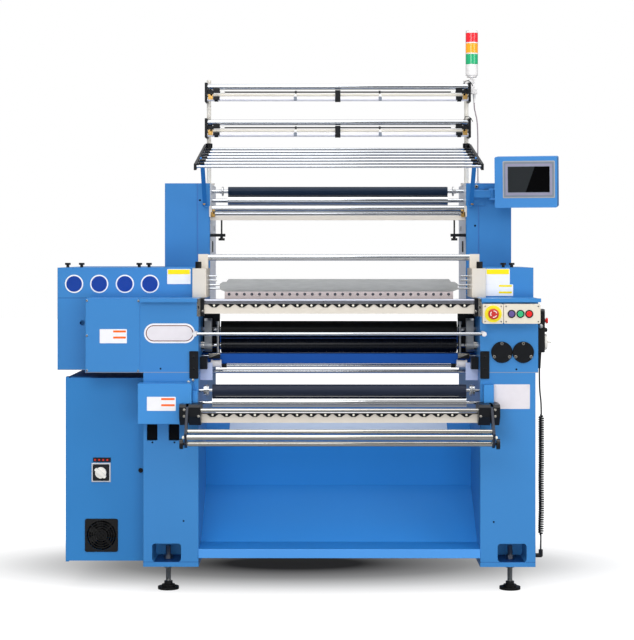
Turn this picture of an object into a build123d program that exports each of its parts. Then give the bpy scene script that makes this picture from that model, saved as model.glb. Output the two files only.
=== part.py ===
from build123d import *
import math
import os

# Crochet knitting machine with a drive housing, a switch cabinet and a yarn rack on poles.
# Millimetres, +Z up, +X to the operator's right, +Y to the back of the machine.
# Everything is laid out from the middle plane between the columns (X = 0), the front
# face of the lower columns (Y = 0) and the floor (Z = 0). The last step shifts all pieces
# so that the origin is the middle of the footprint on the floor.

# Fits
FIT = 0.08                  # radial clearance of a shaft in its hole
FREE = 0.3                  # gap between pieces that move past each other
SHAFT_SEAT = 14             # depth of a journal's blind hole
SEAT_END = 1.0              # end play of a journal in that hole

# Lower columns
GAP_WIDTH = 1056            # clear width between the two columns
COLUMN_WIDTH = 208
COLUMN_DEPTH = 1040
BASE_Z = 97                 # underside of the base plate
BASE_PLATE = 18
COLUMN_TOP = 825
SHEET_EDGE = 3              # outside radius of a folded sheet edge
INNER = GAP_WIDTH / 2
OUTER = INNER + COLUMN_WIDTH

# Foot pockets and levelling feet
POCKET_WIDTH = 109
POCKET_HEIGHT = 69
POCKET_DEPTH = 160
POCKET_RADIUS = 12
FOOT_X = INNER + 120
FOOT_SETBACK = 80
PAD_RADIUS = 40
PAD_HEIGHT = 10
STUD_RADIUS = 9.5
STUD_TOP = 165
NUT_HEIGHT = 15
NUT_FLAT = 30

# Slots in the left column
SLOT_WIDTH = 40
SLOT_HEIGHT = 61
SLOT_Z = 601
SLOT_DEPTH = 30
SLOT_PLACES = (92, 174)     # from the inner face of the column

# Upper columns
UPPER_WIDTH = 186
UPPER_FRONT = 645
UPPER_TOP = 1562
SEAM_INSET = 52
SEAM_X = INNER + SEAM_INSET
SEAM_WIDTH = 2

# Housings on the columns
STEP_Z = 1104               # top of the low front block
HOUSING_TOP = 1218
FRONT_BLOCK_DEPTH = 150
CHEEK = 34                  # shelf beside the opening that carries the end boxes
LEFT_REACH = 1081
LEFT_BLOCK_REACH = 954
LEFT_BACK = 900
RIGHT_REACH = 746
LIP_DEPTH = 20
LIP_DROP = 14
LIP_SHEET = 3
LEFT_PANEL_SEAM = 747
PANEL_SHEET = 3
PANEL_MARGIN = 4
VENT_HOLE_RADIUS = 10
VENT_HOLE_INSET = 96         # from the left housing's outer side
VENT_HOLE_Z = 1006
COVER_SCREW_Y = 240
LEFT_SCREW_INSETS = (27, 81)  # thumb screws, from the left housing's outer side
LEFT_SCREW_PLACES = (248, 210)  # thumb screws, from the left housing's inner side
RIGHT_SCREW_PLACES = (111, 144)

# Fabric trough and beams
TROUGH_SHEET = 4
TROUGH_BACK = 410
TROUGH_TOP = 555
TROUGH_FLANGE = (470, 592)
TROUGH_FOLD = 349
TROUGH_FLOOR = (130, 168)
TROUGH_LIP = (0, 161.5)
TROUGH_LIP_DROP = 30
BEAM_FRONT = 165
BEAM_DEPTH = 70
BEAM_Z = 849
BEAM_HEIGHT = 39
BACK_BEAM_INSETS = (130, 40)   # from the back of the columns
BACK_BEAM_HEIGHTS = (862, 950)
LOW_BEAM_INSETS = (240, 140)
LOW_BEAM_HEIGHTS = (120, 220)

# Round and joining plates on the columns
PLATE_SHEET = 6
JOIN_WIDTH = 34
JOIN_LOW = 803
JOIN_HIGH = 906
COVER_RADIUS = 40
COVER_Z = 902
COVER_PLACES = (609, 689)
COVER_DEPTH = 9

# Switch cabinet
CABINET_LEFT = 1042
CABINET_LOW = 102
CABINET_HIGH = 798
CABINET_FRONT = 120
CABINET_BACK = 580
CABINET_WALL = 3
DOOR_DEPTH = 20
DOOR_GAP = 1.5
DOOR_RETURN = 14
STANDOFF = 16
STANDOFF_X = 118
STANDOFF_INSET = 40
STANDOFF_RADIUS = 6
MOUNT_SHEET = 3
MOUNT_HALF = 132
MOUNT_INSET = 24
DRIVE_UNIT_LEFT = 100
DRIVE_UNIT_RIGHT = 40
DRIVE_UNIT_DEPTH = 130
DRIVE_UNIT_HEIGHTS = (470, 700)
DIN_RAIL_HALF = 120
DIN_RAIL_SHEET = 8
DIN_RAIL_HEIGHTS = (372, 407)
CONTACTORS = 4
CONTACTOR_PITCH = 50
CONTACTOR_WIDTH = 44
CONTACTOR_DEPTH = 78
CONTACTOR_HEIGHTS = (348, 430)
DOOR_SHEET = 2.5
HINGE_INSET = 3.5            # from the door's outer side to the hinge axis
HINGE_PIN = 2.5
HINGE_PIN_REACH = 26
HINGE_LUG = 4
HINGE_LUG_WIDTH = 12
HINGE_LUG_BACK = 30
FAN_X = -905
FAN_Z = 199
FAN_SIZE = 126
FAN_RADIUS = 56
FAN_DEPTH = 25
FAN_HUB = 20
FAN_PIN = 4
FAN_BLADES = 7
RING_COUNT = 5
RING_WIDTH = 3
GUARD_DEPTH = 3
SWITCH_X = -906
SWITCH_Z = 438.5
SWITCH_SIZE = 73
SWITCH_DEPTH = 7
KNOB_RADIUS = 21
KNOB_DEPTH = 22
KNOB_STEM = 8
LEVER_LENGTH = 52
LEVER_WIDTH = 13
STRIP_LOW = 478
STRIP_HIGH = 495

# Control boxes
BOX_LOW = 1011
BOX_HIGH = 1084
BOX_DEPTH = 50
STOP_BOX_LEFT = INNER + 6
STOP_BOX_RIGHT = INNER + 82
PUSH_BOX_LEFT = INNER + 84
PUSH_BOX_RIGHT = INNER + 220
COLLAR_RADIUS = 31.5
COLLAR_DEPTH = 3
MUSHROOM_RADIUS = 19.5
MUSHROOM_DEPTH = 14
MUSHROOM_TRAVEL = 5
MUSHROOM_NECK = 9
BUTTON_RADIUS = 11
BUTTON_RING = 15
BUTTON_PROUD = 6
BUTTON_TRAVEL = 3
BUTTON_PITCH = 32.6
BUTTON_FIRST = 640.5
BUTTON_SEAT = 12

# Creel poles, creel rollers and yarn rack
POLE_X = INNER + 17
POLE_Y = 842
POLE_RADIUS = 9
POLE_TOP = 2006
POLE_FLANGE_RADIUS = 24
POLE_FLANGE = 8
CREEL_LEVELS = (1987, 1838)  # top of the upper and of the lower bracket plate
CREEL_PLATE_HEIGHT = 80
CREEL_PLATE_INNER = 546
CREEL_PLATE = 10
CREEL_PLATE_FRONT = 738
CREEL_CLAMP_RADIUS = 15
CREEL_CLAMP_HEIGHT = 36
CREEL_Y = 757
CREEL_ROLLER_RADIUS = 11.5
CREEL_ROLLER_DROP = 17
CREEL_JOURNAL = 5
CREEL_ROD_DROPS = (39, 51, 68)
CREEL_ROD_RADII = (3, 5.5, 9)
CREEL_BLOCK_INNER = 520
CREEL_BLOCK_HALF = 9
CREEL_BLOCK_DROP = 6         # below the thin rod's middle
CREEL_BLOCK_RISE = 7.5
CREEL_COLLAR_INNER = 500
CREEL_COLLAR_WIDTH = 16
CREEL_RING_X = 172
CREEL_RING_WIDTH = 7
CREEL_JOINT_HALF = 11
RACK_BACK = (780, 1711)
RACK_FRONT = (266, 1611.5)
RACK_ROD_RADIUS = 5
RACK_ROD_COUNT = 7
RACK_ARM_X = 555
RACK_ARM = 10
RACK_ARM_HEIGHT = 24
RACK_CLAMP_HEIGHT = 30
STRUT_FOOT = (622, 1476)
STRUT_REACH_Y = 458
STRUT_WIDTH = 22
STRUT_SHEET = 6
STRUT_PIN = 4
STRUT_LUG = 10
STRUT_X = RACK_ARM_X - FREE - STRUT_SHEET

# Tower light
TOWER_X = 568
TOWER_RADIUS = 26
TOWER_PIVOT = POLE_TOP - 2
TOWER_FOOT = TOWER_PIVOT + 14
TOWER_EAR_TOP = TOWER_PIVOT + 6
TOWER_BASE = 54
TOWER_LENS_HEIGHTS = (43, 46, 47)
TOWER_CAP = 7
TOWER_BRACKET_DROP = 56      # from the pivot down to the bracket's foot
TOWER_BRACKET_FOOT = 22
TOWER_BRACKET_LOW = TOWER_PIVOT - TOWER_BRACKET_DROP
TOWER_EAR = 6
TOWER_LUG = 12
TOWER_HALF_DEPTH = 12
TOWER_ROD = 5
TOWER_PIN = 4
TOWER_CLAMP_RADIUS = 13

# Operator screen
SCREEN_WIDTH = 252
SCREEN_HEIGHT = 206
SCREEN_DEPTH = 86
SCREEN_YAW = -12
SCREEN_LEAN = 5
SCREEN_PIVOT = (632, 614)
SCREEN_CENTRE = (145, -34, 1564)
SCREEN_RECESS = 3
GLASS_WIDTH = 172
GLASS_HEIGHT = 102
ARM_TUBE = 33
ARM_LOW = 1500
ARM_PLATE = 10
ARM_PLATE_HEIGHT = 91
ARM_PLATE_WIDTH = 46
ARM_BARREL = 15
ARM_PIN = 6
ARM_EAR = 8
ARM_START = RACK_ARM_X + 2

# Upper roller group
FEED_RUBBER = (745, 1532)
FEED_RUBBER_RADIUS = 19
FEED_CHROME = (735, 1493)
FEED_CHROME_RADIUS = 19.5
FEED_HALF = 458
FEED_JOURNAL = 8
GUIDE_ROLLER = (668, 1458)
GUIDE_ROLLER_RADIUS = 13
GUIDE_JOURNAL = 5
END_PLAY = 3
GUIDE_ROD = (668, 1437)
GUIDE_ROD_RADIUS = 7.5
YARN_PLATE_LOW = 1410
YARN_PLATE_HIGH = 1428
YARN_PLATE_DEPTH = 16
PRESS_ARM_Z = 1348
PRESS_ARM_REACH = 466
PRESS_ARM_DEPTH = 30
PRESS_ARM_HEIGHT = 12
PRESS_SCREW_X = 481
PRESS_SCREW_RADIUS = 3.5

# Knitting head
BED_FRONT = 20
BED_BACK = 265
BED_LOW = 1046
BED_HIGH = 1083.5
BED_HALF = 508
HEAD_PLATE_LOW = 1036
RAIL_FRONT = 26
RAIL_DEPTH = 34
RAIL_HEIGHT = 17
NEEDLE_Y = 190
NEEDLE_SHEET = 12
NEEDLE_HALF = 441
NEEDLE_TOP = 1125
NEEDLE_HOLES = 30
NEEDLE_PITCH = 29.2
NEEDLE_HOLE_RADIUS = 3.2
NEEDLE_HOLE_Z = 1115
NEEDLE_TRAVEL = 4
WEFT_Y = 250
WEFT_SHEET = 12
WEFT_HALF = 463
WEFT_LOW = 1123
WEFT_HIGH = 1162
WEFT_STRIP_TOP = 1173
WEFT_TRAVEL = 12
PUSH_ROD_RADIUS = 4
PUSH_ROD_LEVELS = (1150, 1136)
PUSH_ROD_END = 540
PIN_LEVELS = (1184, 1168)
PIN_END = 475
END_BOX_FRONT = 130
END_BOX_BACK = 350
END_BOX_TOP = 1215
END_BOX_OVERHANG = 20
CAP_INSET = 13
CAP_RADIUS = 12
CAP_HEIGHT = 26
CAP_RIBS = 14
HOLDER_HEIGHT = 55
HOLDER_WIDTH = 38
HOLDER_DEPTH = 34
HEAD_BAR_Z = 1257
HEAD_BAR_RADIUS = 12.3

# Comb plates and panels
TOOTH_PITCH = 52.3
TOOTH_COUNT = int(2 * BED_HALF / TOOTH_PITCH)     # as many as the bed takes
TOOTH_DROP = 14
TOOTH_TIP = 16
COMB_SHEET = 3
COMB_BAND = 3
LOWER_PANEL_Y = -70
LOWER_PANEL_SHEET = 16
LOWER_PANEL_LOW = 644
LOWER_PANEL_HIGH = 680
LOWER_PANEL_HALF = 512

# Drive rollers and rocker arms
DRIVE_Y = 200
DRIVE_UPPER_Z = 979
DRIVE_UPPER_RADIUS = 33
DRIVE_LOWER_Z = 918
DRIVE_LOWER_RADIUS = 26.5
DRIVE_HALF = 455
DRIVE_JOURNAL = 10
ROCKER_INNER = 486
ROCKER_WIDTH = 28
ROCKER_Y = 133
ROCKER_BAR = 30
ROCKER_TOP = 1024
ROCKER_PIVOT_Z = 918
ROCKER_BOSS = 22
ROCKER_PIN = 8
ROCKER_FLANGE = 20
MID_RODS = ((180, 841, 6.5), (182, 818, 7.5))
GUARD_Y = -58
GUARD_Z = 973
GUARD_RADIUS = 6
GUARD_HALF = 546
GUARD_FOOT_RADIUS = 9

# Linkage and bearings beside the drive rollers
BEARING_PLATE_INNER = 462
BEARING_PLATE_Y = 240
BEARING_PLATE_SHEET = 6
BEARING_PLATE_LOW = 860
BEARING_PLATE_GAP = 2        # under the head's bed
LINK_X = 465
LINK_Y = 156
LINK_RADIUS = 4.5
LINK_TOP = 1000
LINK_HEAD = 12
CLEVIS_INNER = 456
CLEVIS_OUTER = 500
CLEVIS_DEPTH = 17
CLEVIS_LOW = 868
CLEVIS_HEIGHT = 22
PULLEY_INNER = 450
PULLEY_WIDTH = 40
PULLEY_PLACE = (140, 850)
PULLEY_RADIUS = 15.5
PULLEY_GROOVE = 2
AXLE_RADIUS = 6
ROD_BLOCK_INNER = 432
ROD_BLOCK_WIDTH = 18
SIDE_BRACKET_INNER = 500
SIDE_BRACKET = (60, 100, 834, 880)
SIDE_PLATE_INNER = 482
SIDE_PLATE = (100, 104, 790, 857)

# Take-down group
TAKE_Y = 26
RUBBER_Z = 757
RUBBER_RADIUS = 22.5
STEEL_Z = 710.5
STEEL_RADIUS = 23.5
TAKE_HALF = 477
TAKE_JOURNAL = 7
COLLAR_LOW = 491
COLLAR_HIGH = 509
TAKE_COLLAR_RADIUS = 20
BRACKET_OUTER = 590
BRACKET_LOW = 638
BRACKET_HIGH = 716
BRACKET_FRONT = -132
BRACKET_WEB = 20
SWING_BAR = (-112, 694)
SWING_BAR_RADIUS = 6.8
SWING_ARM_X = 556
SWING_ARM = 9
SWING_ARM_WIDTH = 26
FABRIC_RODS = ((-176, 622, 8), (-200, 603, 10.5), (-176, 577, 9.5))
FABRIC_KNOB_RADIUS = 19
FABRIC_KNOB = 13
SIDE_BOX_LEFT = 748
SIDE_BOX_RIGHT = 548
SIDE_BOX_LOW = 641
SIDE_BOX_HIGH = 789
SIDE_BOX_DEPTH = 80

# Hand pendant on the right side
PENDANT_Y = 65
PENDANT_WIDTH = 78
PENDANT_LOW = 899
PENDANT_HIGH = 1062
PENDANT_DEPTH = 28
DIAL_Z = 938
DIAL_RADIUS = 30
DIAL_DEPTH = 12
DIAL_PIN = 5
CRANK_OFFSET = 20
PENDANT_STOP_Z = 1018
PENDANT_STOP_RADIUS = 11
PENDANT_STOP_TRAVEL = 4
CABLE_RADIUS = 3
CURL_RADIUS = 11.5
RELIEF_LENGTH = 61
ELBOW_RADIUS = 8
TOWER_CABLE_RADIUS = 2.5

# Cord routes: the hand cable with its curly stretch, and the tower light's cable
HAND_CABLE = [
    (758, 65, 838),
    (758, 65, 797),
    (759.5, 65.5, 750),
    (765, 65, 706),
    (765, 65, 665),
]
HAND_CURL = [
    (765, 65, 665),
    (765, 65, 590),
    (765.5, 64.5, 500),
    (764, 65.5, 405),
    (766, 65, 315),
    (763.5, 65.2, 250),
    (763.5, 65.2, 205),
]
HAND_TAIL = [
    (763.5, 65.2, 205),
    (763.5, 65.2, 188),
    (763, 65, 170),
    (763, 65, 152),
]
TOWER_CABLE = [
    (578, 842, 1909.6),
    (578, 842, 1893),
    (583, 842, 1868),
    (590, 842, 1840),
    (593, 842, 1795),
    (594, 842, 1740),
    (593, 842.5, 1680),
    (594, 842, 1620),
    (594, 842, 1577),
]


def block(x0, x1, y0, y1, z0, z1):
    """Box between two corners."""
    place = Pos((x0 + x1) / 2, (y0 + y1) / 2, (z0 + z1) / 2)
    return place * Box(abs(x1 - x0), abs(y1 - y0), abs(z1 - z0))


def sheet_box(x0, x1, y0, y1, z0, z1, radius=SHEET_EDGE):
    """Folded sheet-metal box: its upright edges are rounded."""
    box = block(x0, x1, y0, y1, z0, z1)
    return fillet(box.edges().filter_by(Axis.Z), radius)


def bar_x(x0, x1, y, z, radius):
    """Round bar along X."""
    return Pos((x0 + x1) / 2, y, z) * Rot(0, 90, 0) * Cylinder(radius, abs(x1 - x0))


def bar_y(x, y0, y1, z, radius):
    """Round bar along Y."""
    return Pos(x, (y0 + y1) / 2, z) * Rot(90, 0, 0) * Cylinder(radius, abs(y1 - y0))


def bar_z(x, y, z0, z1, radius):
    """Round bar along Z."""
    return Pos(x, y, (z0 + z1) / 2) * Cylinder(radius, abs(z1 - z0))


def from_side(points, x0, x1):
    """Closed outline in (Y, Z), carried along X from x0 to x1."""
    face = make_face(Polyline(*points, close=True))
    return extrude(Plane.YZ.offset(x0) * face, amount=x1 - x0)


def from_front(points, y0, y1):
    """Closed outline in (X, Z), carried along Y from y0 to y1."""
    face = make_face(Polyline(*points, close=True))
    return extrude(Plane.XZ.offset(-y1) * face, amount=y1 - y0)


def from_top(points, z0, z1):
    """Closed outline in (X, Y), carried up from z0 to z1."""
    face = make_face(Polyline(*points, close=True))
    return extrude(Plane.XY.offset(z0) * face, amount=z1 - z0)


def turned(steps):
    """Turned piece about local Z: each (height, radius) runs on to the next height."""
    points = [(0, steps[0][0])]
    for low, high in zip(steps, steps[1:]):
        points.append((low[1], low[0]))
        points.append((low[1], high[0]))
    points.append((0, steps[-1][0]))
    face = make_face(Plane.XZ * Polyline(*points, close=True))
    return revolve(face, Axis.Z)


def turned_x(y, z, steps):
    """Turned piece along X through (y, z)."""
    return Pos(0, y, z) * Rot(0, 90, 0) * turned(steps)


def mirrored(shape):
    """The same piece on the other side of the machine."""
    return mirror(shape, about=Plane.YZ)


def pair(shape):
    """A right-hand piece and its left-hand twin."""
    return [shape, mirrored(shape)]


def roller(half, radius, journal, y, z, end):
    """Roller of half length `half` with a journal at each end."""
    steps = [(-end, journal), (-half, radius), (half, journal), (end, None)]
    return turned_x(y, z, steps)


def lower_column():
    """Right-hand lower column: a box on its base plate with a foot pocket at each end."""
    column = sheet_box(INNER, OUTER, 0, COLUMN_DEPTH, BASE_Z, COLUMN_TOP)
    pocket_top = BASE_Z + BASE_PLATE + POCKET_HEIGHT / 2
    window = Plane.XZ * RectangleRounded(POCKET_WIDTH, POCKET_HEIGHT, POCKET_RADIUS)
    pocket = extrude(window, amount=POCKET_DEPTH, both=True)
    for y in (0, COLUMN_DEPTH):
        column -= Pos(FOOT_X, y, pocket_top) * pocket
    for y in (FOOT_SETBACK, COLUMN_DEPTH - FOOT_SETBACK):
        column -= bar_z(FOOT_X, y, BASE_Z - 1, BASE_Z + BASE_PLATE + 1, STUD_RADIUS + FREE)
    column -= bar_x(INNER - 1, INNER + SHAFT_SEAT, TAKE_Y, RUBBER_Z, TAKE_JOURNAL + FIT)
    column -= bar_x(INNER - 1, INNER + SHAFT_SEAT, TAKE_Y, STEEL_Z, TAKE_JOURNAL + FIT)
    return column


def left_column():
    """Left lower column, with two upright slots in its front."""
    column = mirrored(lower_column())
    slot = extrude(Plane.XZ * RectangleRounded(SLOT_WIDTH, SLOT_HEIGHT, 4), amount=SLOT_DEPTH, both=True)
    for place in SLOT_PLACES:
        column -= Pos(-INNER - place, 0, SLOT_Z) * slot
    return column


def levelling_feet():
    """Four feet: a pad with its threaded stud, and a nut below and above the base plate."""
    foot = turned([(0, PAD_RADIUS), (PAD_HEIGHT, PAD_RADIUS * 0.62), (PAD_HEIGHT * 1.8, PAD_RADIUS * 0.4),
                   (PAD_HEIGHT * 3, STUD_RADIUS), (STUD_TOP, None)])
    nut = extrude(RegularPolygon(NUT_FLAT / 2, 6, major_radius=False), amount=NUT_HEIGHT)
    nut -= Cylinder(STUD_RADIUS + FIT, NUT_HEIGHT * 4)
    pieces = []
    for x in (-FOOT_X, FOOT_X):
        for y in (FOOT_SETBACK, COLUMN_DEPTH - FOOT_SETBACK):
            pieces.append(Pos(x, y, 0) * foot)
            pieces.append(Pos(x, y, BASE_Z - NUT_HEIGHT) * nut)
            pieces.append(Pos(x, y, BASE_Z + BASE_PLATE) * nut)
    return pieces


def upper_columns():
    """Two upper columns standing on the lower ones, each with a seam and a strut lug."""
    column = sheet_box(INNER, INNER + UPPER_WIDTH, UPPER_FRONT, COLUMN_DEPTH, COLUMN_TOP, UPPER_TOP)
    column -= block(SEAM_X, SEAM_X + SEAM_WIDTH, UPPER_FRONT - 1, UPPER_FRONT + SEAM_WIDTH,
                    HOUSING_TOP + 1, UPPER_TOP + 1)
    for place, radius in ((FEED_RUBBER, FEED_JOURNAL), (FEED_CHROME, FEED_JOURNAL),
                          (GUIDE_ROLLER, GUIDE_JOURNAL)):
        column -= bar_x(INNER - 1, INNER + SHAFT_SEAT, place[0], place[1], radius + FIT)
    lug_side = STRUT_X - FREE
    lug = block(lug_side - STRUT_LUG, lug_side, STRUT_FOOT[0] - STRUT_WIDTH / 2, UPPER_FRONT,
                STRUT_FOOT[1] - STRUT_WIDTH / 2, STRUT_FOOT[1] + STRUT_WIDTH / 2)
    pin = bar_x(lug_side - 1, STRUT_X + STRUT_SHEET, STRUT_FOOT[0], STRUT_FOOT[1], STRUT_PIN)
    return pair(column) + pair(lug + pin)


def fabric_trough():
    """Folded sheet between the columns: back panel, slope, floor and front lip."""
    outline = [
        TROUGH_FLANGE,
        (TROUGH_BACK, TROUGH_TOP),
        (TROUGH_BACK, TROUGH_FOLD),
        TROUGH_FLOOR,
        TROUGH_LIP,
        (TROUGH_LIP[0], TROUGH_LIP[1] - TROUGH_LIP_DROP),
    ]
    path = Polyline(*outline)
    strip = offset(path, amount=TROUGH_SHEET / 2, side=Side.BOTH)
    face = make_face(strip.edges())
    return extrude(Plane.YZ.offset(-INNER) * face, amount=GAP_WIDTH)


def cross_beams():
    """Front beam below the drive rollers, and two beams at the back."""
    front = sheet_beam(BEAM_FRONT, BEAM_FRONT + BEAM_DEPTH, BEAM_Z, BEAM_Z + BEAM_HEIGHT)
    middle = sheet_beam(COLUMN_DEPTH - BACK_BEAM_INSETS[0], COLUMN_DEPTH - BACK_BEAM_INSETS[1],
                        *BACK_BEAM_HEIGHTS)
    low = sheet_beam(COLUMN_DEPTH - LOW_BEAM_INSETS[0], COLUMN_DEPTH - LOW_BEAM_INSETS[1],
                     *LOW_BEAM_HEIGHTS)
    return [front, middle, low]


def sheet_beam(y0, y1, z0, z1):
    """Box beam from column to column with rounded long edges."""
    beam = block(-INNER, INNER, y0, y1, z0, z1)
    return fillet(beam.edges().filter_by(Axis.X), SHEET_EDGE)


def lip(x0, x1):
    """Folded lip along the top front edge of a housing."""
    outline = [
        (0, STEP_Z),
        (-LIP_DEPTH, STEP_Z),
        (-LIP_DEPTH, STEP_Z - LIP_DROP),
        (-LIP_DEPTH + LIP_SHEET, STEP_Z - LIP_DROP),
        (-LIP_DEPTH + LIP_SHEET, STEP_Z - LIP_SHEET),
        (0, STEP_Z - LIP_SHEET),
    ]
    return from_side(outline, x0, x1)


def drive_seats(housing, side):
    """Blind holes in a housing's inner face for the two drive rollers."""
    for z in (DRIVE_UPPER_Z, DRIVE_LOWER_Z):
        x0 = side * (INNER - 1)
        x1 = side * (INNER + SHAFT_SEAT)
        housing -= bar_x(min(x0, x1), max(x0, x1), DRIVE_Y, z, DRIVE_JOURNAL + FIT)
    return housing


def left_housing():
    """Drive housing on the left column: a low front block before a high, wide back part."""
    plan = [
        (-LEFT_REACH, FRONT_BLOCK_DEPTH),
        (-INNER, FRONT_BLOCK_DEPTH),
        (-INNER, UPPER_FRONT),
        (-INNER - UPPER_WIDTH, UPPER_FRONT),
        (-INNER - UPPER_WIDTH, LEFT_BACK),
        (-LEFT_REACH, LEFT_BACK),
    ]
    back = from_top(plan, COLUMN_TOP, HOUSING_TOP)
    outer_edges = back.edges().filter_by(Axis.Z).group_by(Axis.X)[0]
    back = fillet(outer_edges, SHEET_EDGE)
    back -= block(-INNER - CHEEK, -INNER + 1, FRONT_BLOCK_DEPTH - 1, UPPER_FRONT + 1,
                  STEP_Z, HOUSING_TOP + 1)
    back -= bar_y(-LEFT_REACH + VENT_HOLE_INSET, FRONT_BLOCK_DEPTH - 1, FRONT_BLOCK_DEPTH + SLOT_DEPTH,
                  VENT_HOLE_Z, VENT_HOLE_RADIUS)
    front = sheet_box(-LEFT_BLOCK_REACH, -INNER, 0, FRONT_BLOCK_DEPTH + SHEET_EDGE, COLUMN_TOP, STEP_Z)
    housing = back + front + lip(-LEFT_PANEL_SEAM, -INNER - 4)
    return drive_seats(housing, -1)


def left_access_panel():
    """Screwed cover plate on the left part of the drive housing's front block."""
    panel = block(-LEFT_BLOCK_REACH + PANEL_MARGIN, -LEFT_PANEL_SEAM - 2, -PANEL_SHEET, 0,
                  COLUMN_TOP + PANEL_MARGIN, STEP_Z - PANEL_MARGIN)
    return fillet(panel.edges().filter_by(Axis.Y), 3)


def right_housing():
    """Control housing on the right column: low front block, high back part, lip."""
    outline = [
        (0, COLUMN_TOP),
        (UPPER_FRONT, COLUMN_TOP),
        (UPPER_FRONT, HOUSING_TOP),
        (FRONT_BLOCK_DEPTH, HOUSING_TOP),
        (FRONT_BLOCK_DEPTH, STEP_Z),
        (0, STEP_Z),
    ]
    housing = from_side(outline, INNER, RIGHT_REACH)
    outer = housing.edges().filter_by(Axis.Z).group_by(Axis.X)[-1]
    housing = fillet(outer, SHEET_EDGE)
    housing -= block(INNER - 1, INNER + CHEEK, FRONT_BLOCK_DEPTH, UPPER_FRONT + 1, STEP_Z, HOUSING_TOP + 1)
    housing += lip(INNER + 4, RIGHT_REACH + 8)
    return drive_seats(housing, 1)


def thumb_screw(x, y, z, radius=11.0, height=18.0):
    """Black mushroom-headed screw standing on a surface at z."""
    steps = [(0, radius * 0.55), (height * 0.55, radius), (height, None)]
    return Pos(x, y, z) * turned(steps)


def ribbed_cap():
    """Black cap with grip ribs round it."""
    cap = bar_z(0, 0, 0, CAP_HEIGHT, CAP_RADIUS)
    grooves = []
    for step in range(CAP_RIBS):
        angle = 2 * math.pi * step / CAP_RIBS
        grooves.append(bar_z(CAP_RADIUS * math.cos(angle), CAP_RADIUS * math.sin(angle), 3, CAP_HEIGHT - 3, 1.2))
    return cap - grooves


def knob_screws():
    """Thumb screws on the housing covers, end boxes and press arms."""
    pieces = []
    places = [-LEFT_REACH + inset for inset in LEFT_SCREW_INSETS]
    places += [-INNER - place for place in LEFT_SCREW_PLACES]
    places += [INNER + place for place in RIGHT_SCREW_PLACES]
    for x in places:
        pieces.append(thumb_screw(x, COVER_SCREW_Y, HOUSING_TOP))
    pieces += pair(Pos(INNER + CAP_INSET, END_BOX_FRONT + 40, END_BOX_TOP) * ribbed_cap())
    low = PRESS_ARM_Z - PRESS_ARM_HEIGHT / 2
    steps = [(-16, 13), (-6, 6), (0, PRESS_SCREW_RADIUS)]
    steps.append((YARN_PLATE_LOW - low, None))
    for side in (-1, 1):
        pieces.append(Pos(side * PRESS_SCREW_X, GUIDE_ROD[0], low) * turned(steps))
    return pieces


def round_cover(x):
    """Round black bearing cover with three screw holes, on the right housing's front."""
    cover = bar_y(x, -COVER_DEPTH, 0, COVER_Z, COVER_RADIUS)
    rim = cover.edges().filter_by(GeomType.CIRCLE).sort_by(Axis.Y)[0]
    return chamfer(rim, 2)


def bolted_plates():
    """Black plates on the columns and housings, the press arms and the rocker pins."""
    pieces = []
    join = block(INNER, INNER + JOIN_WIDTH, -PLATE_SHEET, 0, JOIN_LOW, JOIN_HIGH)
    join = fillet(join.edges().filter_by(Axis.Y), 3)
    pieces += pair(join)
    for x in COVER_PLACES:
        pieces.append(round_cover(x))
    end = block(BED_HALF, INNER, BED_FRONT - 14, BED_FRONT + 30, HEAD_PLATE_LOW, STEP_Z)
    pieces += pair(end)
    arm = block(PRESS_ARM_REACH, INNER, UPPER_FRONT + 8, UPPER_FRONT + 8 + PRESS_ARM_DEPTH,
                PRESS_ARM_Z - PRESS_ARM_HEIGHT / 2, PRESS_ARM_Z + PRESS_ARM_HEIGHT / 2)
    arm -= bar_z(PRESS_SCREW_X, GUIDE_ROD[0], PRESS_ARM_Z - 20, PRESS_ARM_Z + 20, PRESS_SCREW_RADIUS + FIT)
    pieces += pair(arm)
    collar = ROCKER_INNER + ROCKER_WIDTH + FREE
    pin = turned_x(ROCKER_Y, ROCKER_PIVOT_Z, [(ROCKER_INNER - 2, ROCKER_PIN), (collar, ROCKER_FLANGE), (INNER, None)])
    pieces += pair(pin)
    plate = block(BEARING_PLATE_INNER, INNER, BEARING_PLATE_Y, BEARING_PLATE_Y + BEARING_PLATE_SHEET,
                  BEARING_PLATE_LOW, BED_LOW - BEARING_PLATE_GAP)
    pieces += pair(plate)
    back = BEAM_FRONT - FREE
    clevis = block(CLEVIS_INNER, CLEVIS_OUTER, back - CLEVIS_DEPTH, back, CLEVIS_LOW, CLEVIS_LOW + CLEVIS_HEIGHT)
    pieces += pair(fillet(clevis.edges().filter_by(Axis.X), 3))
    pieces += pair(block(SIDE_BRACKET_INNER, INNER, *SIDE_BRACKET))
    y, z, radius = MID_RODS[0]
    high = BEAM_Z - FREE
    rod_block = block(ROD_BLOCK_INNER, ROD_BLOCK_INNER + ROD_BLOCK_WIDTH, y - radius - 4, y + radius + 4,
                      2 * z - high, high)
    rod_block -= bar_x(ROD_BLOCK_INNER - 1, ROD_BLOCK_INNER + ROD_BLOCK_WIDTH + 1, y, z, radius + FIT)
    pieces += pair(rod_block)
    return pieces


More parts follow.
